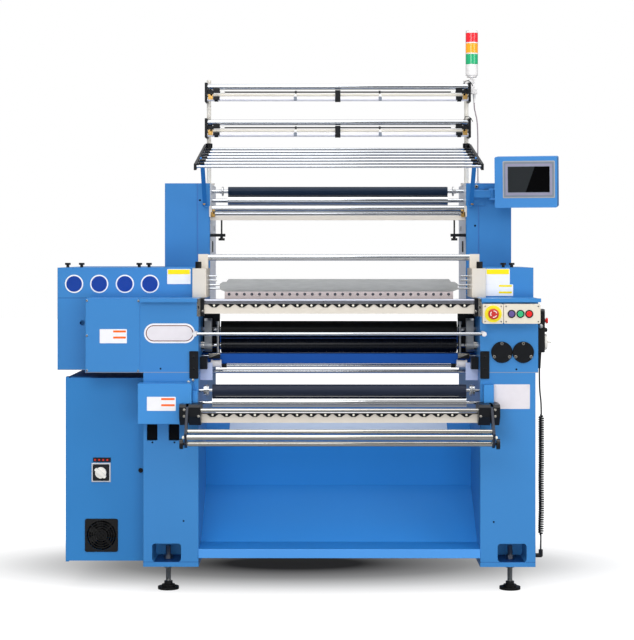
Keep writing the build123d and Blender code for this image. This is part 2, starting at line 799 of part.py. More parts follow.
def end_brackets():
    """Black brackets on the column fronts: a web and two cheeks that carry panel and swing bar."""
    outline = [
        (-BRACKET_WEB, BRACKET_LOW),
        (-BRACKET_WEB, BRACKET_HIGH),
        (BRACKET_FRONT + 10, BRACKET_HIGH),
        (BRACKET_FRONT, BRACKET_HIGH - 10),
        (BRACKET_FRONT, BRACKET_HIGH - 44),
        (BRACKET_FRONT + 34, BRACKET_LOW),
    ]
    pieces = []
    for x0, x1 in ((LOWER_PANEL_HALF, SWING_ARM_X - FREE), (SWING_ARM_X + SWING_ARM + FREE, BRACKET_OUTER)):
        cheek = from_side(outline, x0, x1)
        cheek -= bar_x(x0 - 1, x1 + 1, SWING_BAR[0], SWING_BAR[1], SWING_BAR_RADIUS + FIT)
        pieces += pair(cheek)
    web = block(LOWER_PANEL_HALF, BRACKET_OUTER, -BRACKET_WEB, 0, BRACKET_LOW, BRACKET_HIGH)
    return pieces + pair(web)


def fabric_arms():
    """Flat swing arms on the swing bar, each with a clamp block and a knob at its foot."""
    top = SWING_BAR
    foot = (FABRIC_RODS[1][0], FABRIC_RODS[1][1])
    low = (FABRIC_RODS[2][0], FABRIC_RODS[2][1])
    half = SWING_ARM_WIDTH / 2
    outline = [
        (top[0] + half, top[1] + half),
        (top[0] - half, top[1] + half),
        (foot[0] - half, foot[1] + half),
        (foot[0] - half, low[1]),
        (low[0] - half, low[1] - half),
        (low[0] + half, low[1] - half),
        (low[0] + half, foot[1] + half),
    ]
    arm = from_side(outline, SWING_ARM_X, SWING_ARM_X + SWING_ARM)
    for y, z, radius in FABRIC_RODS:
        arm -= bar_x(SWING_ARM_X - 1, SWING_ARM_X + SWING_ARM + 1, y, z, radius / 2 + FIT)
    arm -= bar_x(SWING_ARM_X - 1, SWING_ARM_X + SWING_ARM + 1, top[0], top[1], SWING_BAR_RADIUS + FIT)
    knob_start = SWING_ARM_X + SWING_ARM
    y, z, radius = FABRIC_RODS[2]
    knob = turned_x(y, z, [(knob_start, radius / 2), (knob_start + 6, FABRIC_KNOB_RADIUS),
                           (knob_start + 6 + FABRIC_KNOB, None)])
    return pair(arm) + pair(knob)


def fabric_rods():
    """The swing bar and the three fabric rods, their thin ends held in the swing arms."""
    end = SWING_ARM_X + SWING_ARM
    pieces = [bar_x(-BRACKET_OUTER + 4, BRACKET_OUTER - 4, SWING_BAR[0], SWING_BAR[1], SWING_BAR_RADIUS)]
    for y, z, radius in FABRIC_RODS:
        pieces.append(roller(SWING_ARM_X, radius, radius / 2, y, z, end))
    return pieces


def side_boxes():
    """Small blue covers on the column fronts beside the take-down rollers."""
    left = sheet_box(-SIDE_BOX_LEFT, -SIDE_BOX_RIGHT, -SIDE_BOX_DEPTH, 0, BRACKET_HIGH + FREE, SIDE_BOX_HIGH)
    small = sheet_box(-SIDE_BOX_RIGHT, -INNER, -SIDE_BOX_DEPTH / 2, 0, BRACKET_HIGH + FREE, SIDE_BOX_HIGH - 30)
    right = sheet_box(INNER + 10, INNER + 48, -SIDE_BOX_DEPTH / 2, 0, BRACKET_HIGH + FREE, SIDE_BOX_HIGH - 7)
    foot = sheet_box(-SIDE_BOX_LEFT, -BRACKET_OUTER - FREE, -SIDE_BOX_DEPTH, 0, SIDE_BOX_LOW, BRACKET_HIGH + 8)
    return [left + foot + small, right] + pair(block(SIDE_PLATE_INNER, INNER, *SIDE_PLATE))


def cabinet_shell():
    """Open-fronted sheet-metal cabinet bolted to the side of the left column."""
    shell = block(-CABINET_LEFT, -OUTER, CABINET_FRONT, CABINET_BACK, CABINET_LOW, CABINET_HIGH)
    shell = fillet(shell.edges().filter_by(Axis.Z), SHEET_EDGE)
    wall = CABINET_WALL
    shell -= block(-CABINET_LEFT + wall, -OUTER - wall, CABINET_FRONT - 1, CABINET_BACK - wall,
                   CABINET_LOW + wall, CABINET_HIGH - wall)
    return [shell] + hinge_lug(1) + hinge_lug(-1)


def hinge_lug(side):
    """Lug at the cabinet's top (side 1) or bottom (-1), with the pin that the door turns on."""
    edge = CABINET_HIGH if side > 0 else CABINET_LOW
    front = CABINET_FRONT - DOOR_DEPTH + HINGE_INSET
    left = -CABINET_LEFT
    right = left + HINGE_LUG_WIDTH
    near = block(left, right, front, CABINET_FRONT + 1, edge + side * FREE, edge + side * HINGE_LUG)
    far = block(left, right, CABINET_FRONT, CABINET_FRONT + HINGE_LUG_BACK, edge, edge + side * HINGE_LUG)
    low, high = sorted((edge - side * HINGE_PIN_REACH, edge + side * FREE))
    pin = bar_z(left + HINGE_INSET, CABINET_FRONT - DOOR_DEPTH / 2, low, high, HINGE_PIN)
    return [near + far, pin]


def cabinet_door():
    """Pan-shaped door with its returns, the fan opening and two hinge knuckles."""
    front = CABINET_FRONT - DOOR_DEPTH
    back = CABINET_FRONT - FREE
    left = -CABINET_LEFT
    right = -OUTER - DOOR_GAP
    door = block(left, right, front, back, CABINET_LOW, CABINET_HIGH)
    door = fillet(door.edges().filter_by(Axis.Z), SHEET_EDGE)
    door -= block(left + DOOR_RETURN, right - DOOR_RETURN, front + DOOR_SHEET, back + 1,
                  CABINET_LOW + DOOR_RETURN, CABINET_HIGH - DOOR_RETURN)
    door -= bar_y(FAN_X, front - 1, back + 1, FAN_Z, FAN_RADIUS)
    door -= bar_y(SWITCH_X, front - 1, back + 1, SWITCH_Z, KNOB_STEM + FIT)
    reach = HINGE_PIN_REACH + 2
    for low, high in ((CABINET_LOW - 1, CABINET_LOW + reach), (CABINET_HIGH - reach, CABINET_HIGH + 1)):
        door -= bar_z(left + HINGE_INSET, CABINET_FRONT - DOOR_DEPTH / 2, low, high, HINGE_PIN + FIT)
    return door


def cabinet_plate():
    """Mounting plate on standoffs with a drive unit, a row of contactors and a rail."""
    back = CABINET_BACK - CABINET_WALL
    front = back - STANDOFF
    face = front - MOUNT_SHEET
    mid = -(CABINET_LEFT + OUTER) / 2
    pieces = [block(mid - MOUNT_HALF, mid + MOUNT_HALF, face, front,
                    CABINET_LOW + MOUNT_INSET, CABINET_HIGH - MOUNT_INSET)]
    for x in (mid - STANDOFF_X, mid + STANDOFF_X):
        for z in (CABINET_LOW + STANDOFF_INSET, CABINET_HIGH - STANDOFF_INSET):
            pieces.append(bar_y(x, front, back, z, STANDOFF_RADIUS))
    pieces.append(sheet_box(mid - DRIVE_UNIT_LEFT, mid + DRIVE_UNIT_RIGHT, face - DRIVE_UNIT_DEPTH, face,
                            *DRIVE_UNIT_HEIGHTS))
    pieces.append(block(mid - DIN_RAIL_HALF, mid + DIN_RAIL_HALF, face - DIN_RAIL_SHEET, face,
                        *DIN_RAIL_HEIGHTS))
    seat = face - DIN_RAIL_SHEET
    for step in range(CONTACTORS):
        x = mid - DRIVE_UNIT_LEFT + CONTACTOR_PITCH * step
        pieces.append(block(x, x + CONTACTOR_WIDTH, seat - CONTACTOR_DEPTH, seat, *CONTACTOR_HEIGHTS))
    return pieces


def door_fittings():
    """Switch frame, indicator strip and lock on the door's face."""
    front = CABINET_FRONT - DOOR_DEPTH
    half = SWITCH_SIZE / 2
    frame = block(SWITCH_X - half, SWITCH_X + half, front - SWITCH_DEPTH, front,
                  SWITCH_Z - half, SWITCH_Z + half)
    frame = chamfer(frame.faces().sort_by(Axis.Y)[0].edges(), 3)
    frame -= bar_y(SWITCH_X, front - SWITCH_DEPTH - 1, front + 1, SWITCH_Z, KNOB_STEM + FIT)
    strip = block(SWITCH_X - 31, SWITCH_X + 37, front - 2, front, STRIP_LOW, STRIP_HIGH)
    for step in range(4):
        lamp = bar_y(SWITCH_X - 22 + step * 17, front - 4, front - 1, (STRIP_LOW + STRIP_HIGH) / 2, 4)
        strip += lamp
    lock = bar_y(-OUTER - 19, front - 5, front, SWITCH_Z + 8, 9)
    lock -= block(-OUTER - 20, -OUTER - 18, front - 6, front - 3, SWITCH_Z + 3, SWITCH_Z + 13)
    return [frame, strip, lock]


def fan_guard():
    """Fan guard of rings and spokes on the door, with the fan's frame behind the door."""
    front = CABINET_FRONT - DOOR_DEPTH
    half = FAN_SIZE / 2
    corner = extrude(RectangleRounded(FAN_SIZE, FAN_SIZE, 8), amount=GUARD_DEPTH)
    guard = corner - Cylinder(FAN_RADIUS, GUARD_DEPTH * 4)
    pitch = (FAN_RADIUS - FAN_HUB / 2) / RING_COUNT
    for step in range(RING_COUNT):
        outer = FAN_HUB / 2 + pitch * step + RING_WIDTH
        ring = Circle(outer) - Circle(outer - RING_WIDTH)
        guard += extrude(ring, amount=GUARD_DEPTH)
    for angle in (45, 135):
        guard += Rot(0, 0, angle) * Pos(0, 0, GUARD_DEPTH / 2) * Box(FAN_RADIUS * 2 + 2, RING_WIDTH, GUARD_DEPTH)
    guard = Pos(FAN_X, front, FAN_Z) * Rot(90, 0, 0) * guard
    back = front + DOOR_SHEET
    frame = block(FAN_X - half + 3, FAN_X + half - 3, back, back + FAN_DEPTH, FAN_Z - half + 3, FAN_Z + half - 3)
    frame -= bar_y(FAN_X, back - 1, back + FAN_DEPTH + 1, FAN_Z, FAN_RADIUS)
    spider = bar_y(FAN_X, back + FAN_DEPTH - 4, back + FAN_DEPTH, FAN_Z, FAN_HUB)
    for angle in (0, 90):
        strut = Rot(0, angle, 0) * Box(FAN_RADIUS * 2 + 2, 4, 6)
        spider += Pos(FAN_X, back + FAN_DEPTH - 2, FAN_Z) * strut
    spider += bar_y(FAN_X, back + 4, back + FAN_DEPTH - 1, FAN_Z, FAN_PIN)
    return [guard, frame + spider]


def fan_rotor():
    """Fan wheel with raked blades, running on the spider's pin."""
    back = CABINET_FRONT - DOOR_DEPTH + DOOR_SHEET
    depth = FAN_DEPTH - 4 - 4 - FREE * 2
    rotor = Cylinder(FAN_HUB, depth)
    blade = Pos(FAN_HUB - 2 + 17, 0, 0) * Rot(28, 0, 0) * Box(34, 22, 2)
    for step in range(FAN_BLADES):
        rotor += Rot(0, 0, 360 / FAN_BLADES * step) * blade
    rotor -= Cylinder(FAN_PIN + FIT, depth * 2)
    return Pos(FAN_X, back + 4 + depth / 2, FAN_Z) * Rot(90, 0, 0) * rotor


def switch_knob():
    """Rotary main switch: a round knob with its lever, on a stem through the door."""
    front = CABINET_FRONT - DOOR_DEPTH - SWITCH_DEPTH - FREE
    knob = bar_y(SWITCH_X, front - KNOB_DEPTH / 2, front, SWITCH_Z, KNOB_RADIUS)
    lever = Box(LEVER_LENGTH, KNOB_DEPTH / 2 + 2, LEVER_WIDTH)
    lever = fillet(lever.edges().filter_by(Axis.Y), LEVER_WIDTH / 2 - 0.5)
    place = Pos(SWITCH_X, front - KNOB_DEPTH * 0.75, SWITCH_Z) * Rot(0, 40, 0)
    stem = bar_y(SWITCH_X, front - 1, CABINET_FRONT - FREE, SWITCH_Z, KNOB_STEM)
    return knob + place * lever + stem


def control_boxes():
    """Two cast control boxes: stop box with its collar, and push-button box."""
    mid = (BOX_LOW + BOX_HIGH) / 2
    stop = block(STOP_BOX_LEFT, STOP_BOX_RIGHT, -BOX_DEPTH, 0, BOX_LOW, BOX_HIGH)
    stop = fillet(stop.edges().filter_by(Axis.Y), 5)
    stop_x = (STOP_BOX_LEFT + STOP_BOX_RIGHT) / 2
    collar = bar_y(stop_x, -BOX_DEPTH - COLLAR_DEPTH, -BOX_DEPTH, mid, COLLAR_RADIUS)
    stem_hole = bar_y(stop_x, -BOX_DEPTH - COLLAR_DEPTH - 1, -BOX_DEPTH + 20, mid, MUSHROOM_NECK + FIT)
    push = block(PUSH_BOX_LEFT, PUSH_BOX_RIGHT, -BOX_DEPTH, 0, BOX_LOW, BOX_HIGH)
    push = fillet(push.edges().filter_by(Axis.Y), 5)
    for step in range(3):
        x = BUTTON_FIRST + BUTTON_PITCH * step
        push += bar_y(x, -BOX_DEPTH - COLLAR_DEPTH, -BOX_DEPTH + 1, mid, BUTTON_RING)
        push -= bar_y(x, -BOX_DEPTH - COLLAR_DEPTH - 1, -BOX_DEPTH + BUTTON_SEAT, mid, BUTTON_RADIUS + FIT)
    return [stop - stem_hole, collar - stem_hole, push]


def estop_button():
    """Red mushroom head on its stem."""
    mid = (BOX_LOW + BOX_HIGH) / 2
    stop_x = (STOP_BOX_LEFT + STOP_BOX_RIGHT) / 2
    face = -BOX_DEPTH - COLLAR_DEPTH - MUSHROOM_TRAVEL - FREE
    head = bar_y(stop_x, face - MUSHROOM_DEPTH, face, mid, MUSHROOM_RADIUS)
    rims = head.edges().filter_by(GeomType.CIRCLE).sort_by(Axis.Y)[0]
    head = fillet(rims, 4)
    stem = bar_y(stop_x, face - 1, -BOX_DEPTH + 20 - MUSHROOM_TRAVEL - 1, mid, MUSHROOM_NECK)
    return head + stem


def push_button(step):
    """Flush push button number `step`, from the left."""
    mid = (BOX_LOW + BOX_HIGH) / 2
    x = BUTTON_FIRST + BUTTON_PITCH * step
    cap = bar_y(x, -BOX_DEPTH - BUTTON_PROUD, -BOX_DEPTH + BUTTON_SEAT - BUTTON_TRAVEL - 1, mid, BUTTON_RADIUS)
    rim = cap.edges().filter_by(GeomType.CIRCLE).sort_by(Axis.Y)[0]
    return fillet(rim, 1.2)


def creel_poles():
    """Two tubes on flanges that carry the creel rollers and the yarn rack."""
    seat = UPPER_TOP + POLE_FLANGE
    flange = bar_z(POLE_X, POLE_Y, UPPER_TOP, seat, POLE_FLANGE_RADIUS)
    return pair(flange) + pair(bar_z(POLE_X, POLE_Y, seat, POLE_TOP, POLE_RADIUS))


def creel_brackets():
    """Black bracket plates clamped to the poles, two on each level."""
    pieces = []
    for top in CREEL_LEVELS:
        low = top - CREEL_PLATE_HEIGHT
        mid = (low + top) / 2
        plate = block(CREEL_PLATE_INNER, CREEL_PLATE_INNER + CREEL_PLATE, CREEL_PLATE_FRONT, POLE_Y, low, top)
        plate = fillet(plate.edges().filter_by(Axis.X), 4)
        clamp = bar_z(POLE_X, POLE_Y, mid - CREEL_CLAMP_HEIGHT / 2, mid + CREEL_CLAMP_HEIGHT / 2,
                      CREEL_CLAMP_RADIUS)
        bracket = plate + clamp
        bracket -= bar_z(POLE_X, POLE_Y, low - 1, top + 1, POLE_RADIUS + FIT)
        bracket -= bar_x(CREEL_PLATE_INNER - 1, CREEL_PLATE_INNER + CREEL_PLATE + 1, CREEL_Y,
                         top - CREEL_ROLLER_DROP, CREEL_JOURNAL + FIT)
        pieces += pair(bracket)
        pieces += creel_clips(top)
    return pieces


def creel_clips(top):
    """Clips on one level's rods: end blocks and collars, rings, and a block that joins all three."""
    thin, middle, thick = [top - drop for drop in CREEL_ROD_DROPS]
    low, high = thin - CREEL_BLOCK_DROP, thin + CREEL_BLOCK_RISE
    end_block = block(CREEL_BLOCK_INNER, CREEL_PLATE_INNER, CREEL_Y - CREEL_BLOCK_HALF, CREEL_Y + CREEL_BLOCK_HALF,
                      low, high)
    end_block -= bar_x(0, CREEL_PLATE_INNER, CREEL_Y, thin, CREEL_ROD_RADII[0] + FIT)
    collar = bar_x(CREEL_COLLAR_INNER, CREEL_COLLAR_INNER + CREEL_COLLAR_WIDTH, CREEL_Y, thick,
                   CREEL_ROD_RADII[2] + 2)
    collar -= bar_x(0, CREEL_PLATE_INNER, CREEL_Y, thick, CREEL_ROD_RADII[2] + FIT)
    ring = bar_x(CREEL_RING_X, CREEL_RING_X + CREEL_RING_WIDTH, CREEL_Y, thin, CREEL_ROD_RADII[0] + 3)
    ring -= bar_x(0, CREEL_PLATE_INNER, CREEL_Y, thin, CREEL_ROD_RADII[0] + FIT)
    depth = CREEL_ROD_RADII[2] + 2
    joint = block(-CREEL_JOINT_HALF, CREEL_JOINT_HALF, CREEL_Y - depth, CREEL_Y + depth, thick - depth - 1, high)
    for z, radius in zip((thin, middle, thick), CREEL_ROD_RADII):
        joint -= bar_x(-CREEL_PLATE_INNER, CREEL_PLATE_INNER, CREEL_Y, z, radius + FIT)
    return pair(end_block) + pair(collar) + pair(ring) + [joint]


def creel_rods():
    """Three fixed rods on each creel level, from plate to plate."""
    pieces = []
    for top in CREEL_LEVELS:
        for drop, radius in zip(CREEL_ROD_DROPS, CREEL_ROD_RADII):
            pieces.append(bar_x(-CREEL_PLATE_INNER, CREEL_PLATE_INNER, CREEL_Y, top - drop, radius))
    return pieces


def creel_roller(level):
    """Chrome roller turning in the bracket plates of one creel level."""
    z = CREEL_LEVELS[level] - CREEL_ROLLER_DROP
    return roller(CREEL_PLATE_INNER - END_PLAY, CREEL_ROLLER_RADIUS, CREEL_JOURNAL, CREEL_Y, z,
                  CREEL_PLATE_INNER + CREEL_PLATE)


def rack_height(y):
    """Height of the rack's middle line at depth y."""
    slope = (RACK_BACK[1] - RACK_FRONT[1]) / (RACK_BACK[0] - RACK_FRONT[0])
    return RACK_FRONT[1] + slope * (y - RACK_FRONT[0])


def rack_arms():
    """Sloping side arms clamped to the poles, and the flat struts that hold them up."""
    half = RACK_ARM_HEIGHT / 2
    front_y = RACK_FRONT[0] - 14
    outline = [
        (front_y, rack_height(front_y) - half),
        (front_y, rack_height(front_y) + half),
        (POLE_Y, rack_height(POLE_Y) + half),
        (POLE_Y, rack_height(POLE_Y) - half),
    ]
    arm = from_side(outline, RACK_ARM_X, RACK_ARM_X + RACK_ARM)
    middle = rack_height(POLE_Y)
    clamp = bar_z(POLE_X, POLE_Y, middle - RACK_CLAMP_HEIGHT / 2, middle + RACK_CLAMP_HEIGHT / 2,
                  CREEL_CLAMP_RADIUS)
    arm = arm + clamp
    arm -= bar_z(POLE_X, POLE_Y, middle - 40, middle + 40, POLE_RADIUS + FIT)
    arm += bar_x(STRUT_X, RACK_ARM_X + 1, STRUT_REACH_Y, rack_height(STRUT_REACH_Y), STRUT_PIN)
    return pair(arm) + pair(rack_strut())


def rack_strut():
    """Flat strut from the column's lug up to the rack arm."""
    y0, z0 = STRUT_FOOT
    y1 = STRUT_REACH_Y
    z1 = rack_height(y1)
    length = math.hypot(y1 - y0, z1 - z0)
    slope = math.degrees(math.atan2(z1 - z0, y1 - y0))
    bar = SlotCenterToCenter(length, STRUT_WIDTH)
    hole = Circle(STRUT_PIN + FIT)
    bar -= Pos(-length / 2, 0) * hole
    bar -= Pos(length / 2, 0) * hole
    middle = Pos((y0 + y1) / 2, (z0 + z1) / 2) * Rot(0, 0, slope) * bar
    return extrude(Plane.YZ.offset(STRUT_X) * middle, amount=STRUT_SHEET)


def rack_rods():
    """Parallel yarn rods between the rack arms."""
    pieces = []
    for step in range(RACK_ROD_COUNT):
        share = step / (RACK_ROD_COUNT - 1)
        y = RACK_BACK[0] + (RACK_FRONT[0] - RACK_BACK[0]) * share
        pieces.append(bar_x(-RACK_ARM_X, RACK_ARM_X, y, rack_height(y), RACK_ROD_RADIUS))
    return pieces


def tower_bracket():
    """White bracket on the right pole with two ears and the pivot pin."""
    ear = TOWER_LUG / 2 + TOWER_EAR
    bracket = block(TOWER_X - ear, TOWER_X + ear, POLE_Y - TOWER_HALF_DEPTH, POLE_Y + TOWER_HALF_DEPTH,
                    TOWER_BRACKET_LOW, TOWER_EAR_TOP)
    slot_low = TOWER_PIVOT - 16
    bracket -= block(TOWER_X - TOWER_LUG / 2, TOWER_X + TOWER_LUG / 2, POLE_Y - 50, POLE_Y + 50,
                     slot_low, TOWER_EAR_TOP + 1)
    foot = block(TOWER_X - ear, TOWER_X + ear + 10, POLE_Y - TOWER_HALF_DEPTH, POLE_Y + TOWER_HALF_DEPTH,
                 TOWER_BRACKET_LOW, TOWER_BRACKET_LOW + TOWER_BRACKET_FOOT)
    clamp = bar_z(POLE_X, POLE_Y, CREEL_LEVELS[0] + 1, POLE_TOP - 2, TOWER_CLAMP_RADIUS)
    bracket = bracket + foot + clamp
    bracket -= bar_z(POLE_X, POLE_Y, TOWER_BRACKET_LOW - 1, TOWER_EAR_TOP + 1, POLE_RADIUS + FIT)
    bracket -= bar_z(POLE_X, POLE_Y, TOWER_BRACKET_LOW - 1, CREEL_LEVELS[0], CREEL_CLAMP_RADIUS + FREE)
    bracket += bar_x(TOWER_X - ear, TOWER_X + ear, POLE_Y, TOWER_PIVOT, TOWER_PIN)
    return bracket


def tower_base():
    """White base with its pivot lug, centre rod and cap, in one turned piece."""
    radius = TOWER_RADIUS
    lens_top = TOWER_FOOT + TOWER_BASE + sum(TOWER_LENS_HEIGHTS)
    steps = [
        (TOWER_FOOT, radius - 5),
        (TOWER_FOOT + 8, radius),
        (TOWER_FOOT + TOWER_BASE, TOWER_ROD),
        (lens_top, radius - 1),
        (lens_top + TOWER_CAP, None),
    ]
    base = Pos(TOWER_X, POLE_Y, 0) * turned(steps)
    half = TOWER_LUG / 2 - FREE
    lug = block(TOWER_X - half, TOWER_X + half, POLE_Y - TOWER_HALF_DEPTH + 2, POLE_Y + TOWER_HALF_DEPTH - 2,
                TOWER_PIVOT - 10, TOWER_FOOT + 1)
    lug -= bar_x(TOWER_X - half - 1, TOWER_X + half + 1, POLE_Y, TOWER_PIVOT, TOWER_PIN + FIT)
    return base + lug


def tower_lenses():
    """Three ring lenses stacked round the centre rod, each with two fine grooves."""
    pieces = []
    low = TOWER_FOOT + TOWER_BASE
    groove = TOWER_RADIUS - 1.5
    for height in TOWER_LENS_HEIGHTS:
        high = low + height
        lens = turned([(low, groove), (low + 3, TOWER_RADIUS), (high - 1, None)])
        lens += turned([(high - 1, groove), (high, None)])
        lens -= bar_z(0, 0, low - 1, high + 1, TOWER_ROD + FREE)
        pieces.append(Pos(TOWER_X, POLE_Y, 0) * lens)
        low = high
    return pieces


def screen_arm():
    """Blue arm bolted to the right upper column, with the barrel that the screen turns on."""
    x, y = SCREEN_PIVOT
    half = ARM_TUBE / 2
    high = ARM_LOW + ARM_TUBE
    plate = block(ARM_START, ARM_START + ARM_PLATE_WIDTH, UPPER_FRONT - ARM_PLATE, UPPER_FRONT,
                  high + 28 - ARM_PLATE_HEIGHT, high + 28)
    tube = block(ARM_START, x - ARM_BARREL / 2, y - half, y + half, ARM_LOW, high)
    tube = fillet(tube.edges().filter_by(Axis.X), SHEET_EDGE)
    spacer = block(ARM_START, ARM_START + ARM_PLATE_WIDTH, y, UPPER_FRONT - 1, ARM_LOW, high)
    gusset = from_front([(ARM_START, ARM_LOW + 1), (x - 30, ARM_LOW + 1), (ARM_START, ARM_LOW - 28)],
                        y + half - 8, UPPER_FRONT - 1)
    barrel = bar_z(x, y, ARM_LOW, high, ARM_BARREL)
    arm = plate + tube + spacer + gusset + barrel
    return arm - bar_z(x, y, ARM_LOW - 1, high + 1, ARM_PIN + FIT)


def screen_housing():
    """Operator terminal: a box with a recessed screen, and the pin and ears it turns on."""
    high = ARM_LOW + ARM_TUBE
    body = Box(SCREEN_WIDTH, SCREEN_DEPTH, SCREEN_HEIGHT)
    body = fillet(body.edges().filter_by(Axis.Y), 6)
    recess = Pos(0, -SCREEN_DEPTH / 2, 0) * Box(GLASS_WIDTH, SCREEN_RECESS * 2, GLASS_HEIGHT)
    body = body - recess
    body = Pos(*SCREEN_CENTRE) * Rot(SCREEN_LEAN, 0, 0) * body
    ears = None
    for z0, z1 in ((ARM_LOW - FREE - ARM_EAR, ARM_LOW - FREE), (high + FREE, high + FREE + ARM_EAR)):
        ear = block(0, SCREEN_CENTRE[0] - SCREEN_WIDTH / 2 + 10, -ARM_BARREL, ARM_BARREL, z0, z1)
        ear += bar_z(0, 0, z0, z1, ARM_BARREL)
        ears = ear if ears is None else ears + ear
    cheek = block(ARM_BARREL + 4 * FREE, SCREEN_CENTRE[0] - SCREEN_WIDTH / 2 + 10, -ARM_BARREL, ARM_BARREL,
                  ARM_LOW - FREE - ARM_EAR, high + FREE + ARM_EAR)
    pin = bar_z(0, 0, ARM_LOW - FREE - 1, high + FREE + 1, ARM_PIN)
    housing = body + ears + cheek + pin
    return Pos(SCREEN_PIVOT[0], SCREEN_PIVOT[1], 0) * Rot(0, 0, SCREEN_YAW) * housing


def feed_roller(place, radius):
    """Roller of the upper pair, with journals in the upper columns."""
    return roller(FEED_HALF, radius, FEED_JOURNAL, place[0], place[1], INNER + SHAFT_SEAT - SEAT_END)


def guide_roller():
    """Thin chrome roller before the feed pair."""
    return roller(INNER - END_PLAY, GUIDE_ROLLER_RADIUS, GUIDE_JOURNAL, GUIDE_ROLLER[0], GUIDE_ROLLER[1],
                  INNER + SHAFT_SEAT - SEAT_END)


def guide_rods():
    """Fixed bright rods: head bar, head rail, upper rod, two middle rods and guard rod."""
    holder_end = INNER - END_BOX_OVERHANG + HOLDER_WIDTH
    pieces = [bar_x(-holder_end, holder_end, WEFT_Y, HEAD_BAR_Z, HEAD_BAR_RADIUS)]
    rail = block(-BED_HALF, BED_HALF, RAIL_FRONT, RAIL_FRONT + RAIL_DEPTH, BED_HIGH, BED_HIGH + RAIL_HEIGHT)
    front_edge = rail.edges().filter_by(Axis.X).group_by(Axis.Z)[-1]
    pieces.append(fillet(front_edge, 7))
    pieces.append(bar_x(-INNER, INNER, GUIDE_ROD[0], GUIDE_ROD[1], GUIDE_ROD_RADIUS))
    for y, z, radius in MID_RODS:
        pieces.append(bar_x(-INNER, INNER, y, z, radius))
    pieces += guard_rod() + side_linkage()
    return pieces


def side_linkage():
    """Upright link rods on their clevises, and belt pulleys on axles, beside the drive rollers."""
    foot = CLEVIS_LOW + CLEVIS_HEIGHT
    link = bar_z(LINK_X, LINK_Y, foot, LINK_TOP, LINK_RADIUS)
    head = bar_z(LINK_X, LINK_Y, LINK_TOP, LINK_TOP + LINK_HEAD, LINK_RADIUS + 2.5)
    axle = bar_x(CLEVIS_OUTER, INNER, LINK_Y, CLEVIS_LOW + CLEVIS_HEIGHT / 2, AXLE_RADIUS)
    end = PULLEY_INNER + PULLEY_WIDTH
    pulley = turned_x(*PULLEY_PLACE, [(PULLEY_INNER, PULLEY_RADIUS), (PULLEY_INNER + 6, PULLEY_RADIUS - PULLEY_GROOVE),
                                      (end - 6, PULLEY_RADIUS), (end, AXLE_RADIUS), (INNER, None)])
    return pair(link) + pair(head) + pair(axle) + pair(pulley)


def guard_rod():
    """Front guard rod with a foot at each end on the housing fronts."""
    rod = bar_x(-GUARD_HALF, GUARD_HALF, GUARD_Y, GUARD_Z, GUARD_RADIUS)
    foot = bar_y(GUARD_HALF - GUARD_FOOT_RADIUS, GUARD_Y - GUARD_FOOT_RADIUS - 2, 0, GUARD_Z, GUARD_FOOT_RADIUS)
    foot -= bar_x(-GUARD_HALF - 1, GUARD_HALF + 1, GUARD_Y, GUARD_Z, GUARD_RADIUS + FIT)
    return [rod] + pair(foot)


def end_boxes():
    """Cream guide boxes on the housing shelves, with pins and the head bar's holders."""
    inner = INNER - END_BOX_OVERHANG
    outer = INNER + CHEEK - FREE
    box = sheet_box(inner, outer, END_BOX_FRONT, END_BOX_BACK, STEP_Z, END_BOX_TOP, 4)
    for z in PUSH_ROD_LEVELS:
        box -= bar_x(inner - 1, PUSH_ROD_END + WEFT_TRAVEL + 3, WEFT_Y, z, PUSH_ROD_RADIUS + FIT)
    pins = []
    for z in PIN_LEVELS:
        pins.append(bar_x(PIN_END, inner, WEFT_Y, z, PUSH_ROD_RADIUS))
    holder = block(inner, inner + HOLDER_WIDTH, WEFT_Y - HOLDER_DEPTH / 2, WEFT_Y + HOLDER_DEPTH / 2,
                   END_BOX_TOP, END_BOX_TOP + HOLDER_HEIGHT)
    holder -= bar_x(inner - 1, inner + HOLDER_WIDTH + 1, WEFT_Y, HEAD_BAR_Z, HEAD_BAR_RADIUS + FIT)
    pieces = pair(box) + pair(holder)
    for pin in pins:
        pieces += pair(pin)
    return pieces


def weft_bar():
    """Sliding bar with tapered ends and two push rods at each end."""
    outline = [
        (-WEFT_HALF, WEFT_LOW + 10),
        (-WEFT_HALF + 22, WEFT_LOW),
        (WEFT_HALF - 22, WEFT_LOW),
        (WEFT_HALF, WEFT_LOW + 10),
        (WEFT_HALF, WEFT_HIGH - 8),
        (WEFT_HALF - 12, WEFT_HIGH),
        (WEFT_HALF - 26, WEFT_HIGH),
        (WEFT_HALF - 34, WEFT_STRIP_TOP),
        (-WEFT_HALF + 34, WEFT_STRIP_TOP),
        (-WEFT_HALF + 26, WEFT_HIGH),
        (-WEFT_HALF + 12, WEFT_HIGH),
        (-WEFT_HALF, WEFT_HIGH - 8),
    ]
    bar = from_front(outline, WEFT_Y - WEFT_SHEET / 2, WEFT_Y + WEFT_SHEET / 2)
    for z in PUSH_ROD_LEVELS:
        for side in (-1, 1):
            x0 = side * (WEFT_HALF - 2)
            x1 = side * PUSH_ROD_END
            bar += bar_x(min(x0, x1), max(x0, x1), WEFT_Y, z, PUSH_ROD_RADIUS)
    return bar


def needle_strip():
    """Upright needle strip on the bed with a row of round holes."""
    strip = block(-NEEDLE_HALF, NEEDLE_HALF, NEEDLE_Y, NEEDLE_Y + NEEDLE_SHEET, BED_HIGH + FREE, NEEDLE_TOP)
    first = -NEEDLE_PITCH * (NEEDLE_HOLES - 1) / 2
    holes = []
    for step in range(NEEDLE_HOLES):
        x = first + NEEDLE_PITCH * step
        holes.append(bar_y(x, NEEDLE_Y - 1, NEEDLE_Y + NEEDLE_SHEET + 1, NEEDLE_HOLE_Z, NEEDLE_HOLE_RADIUS))
    return strip - holes


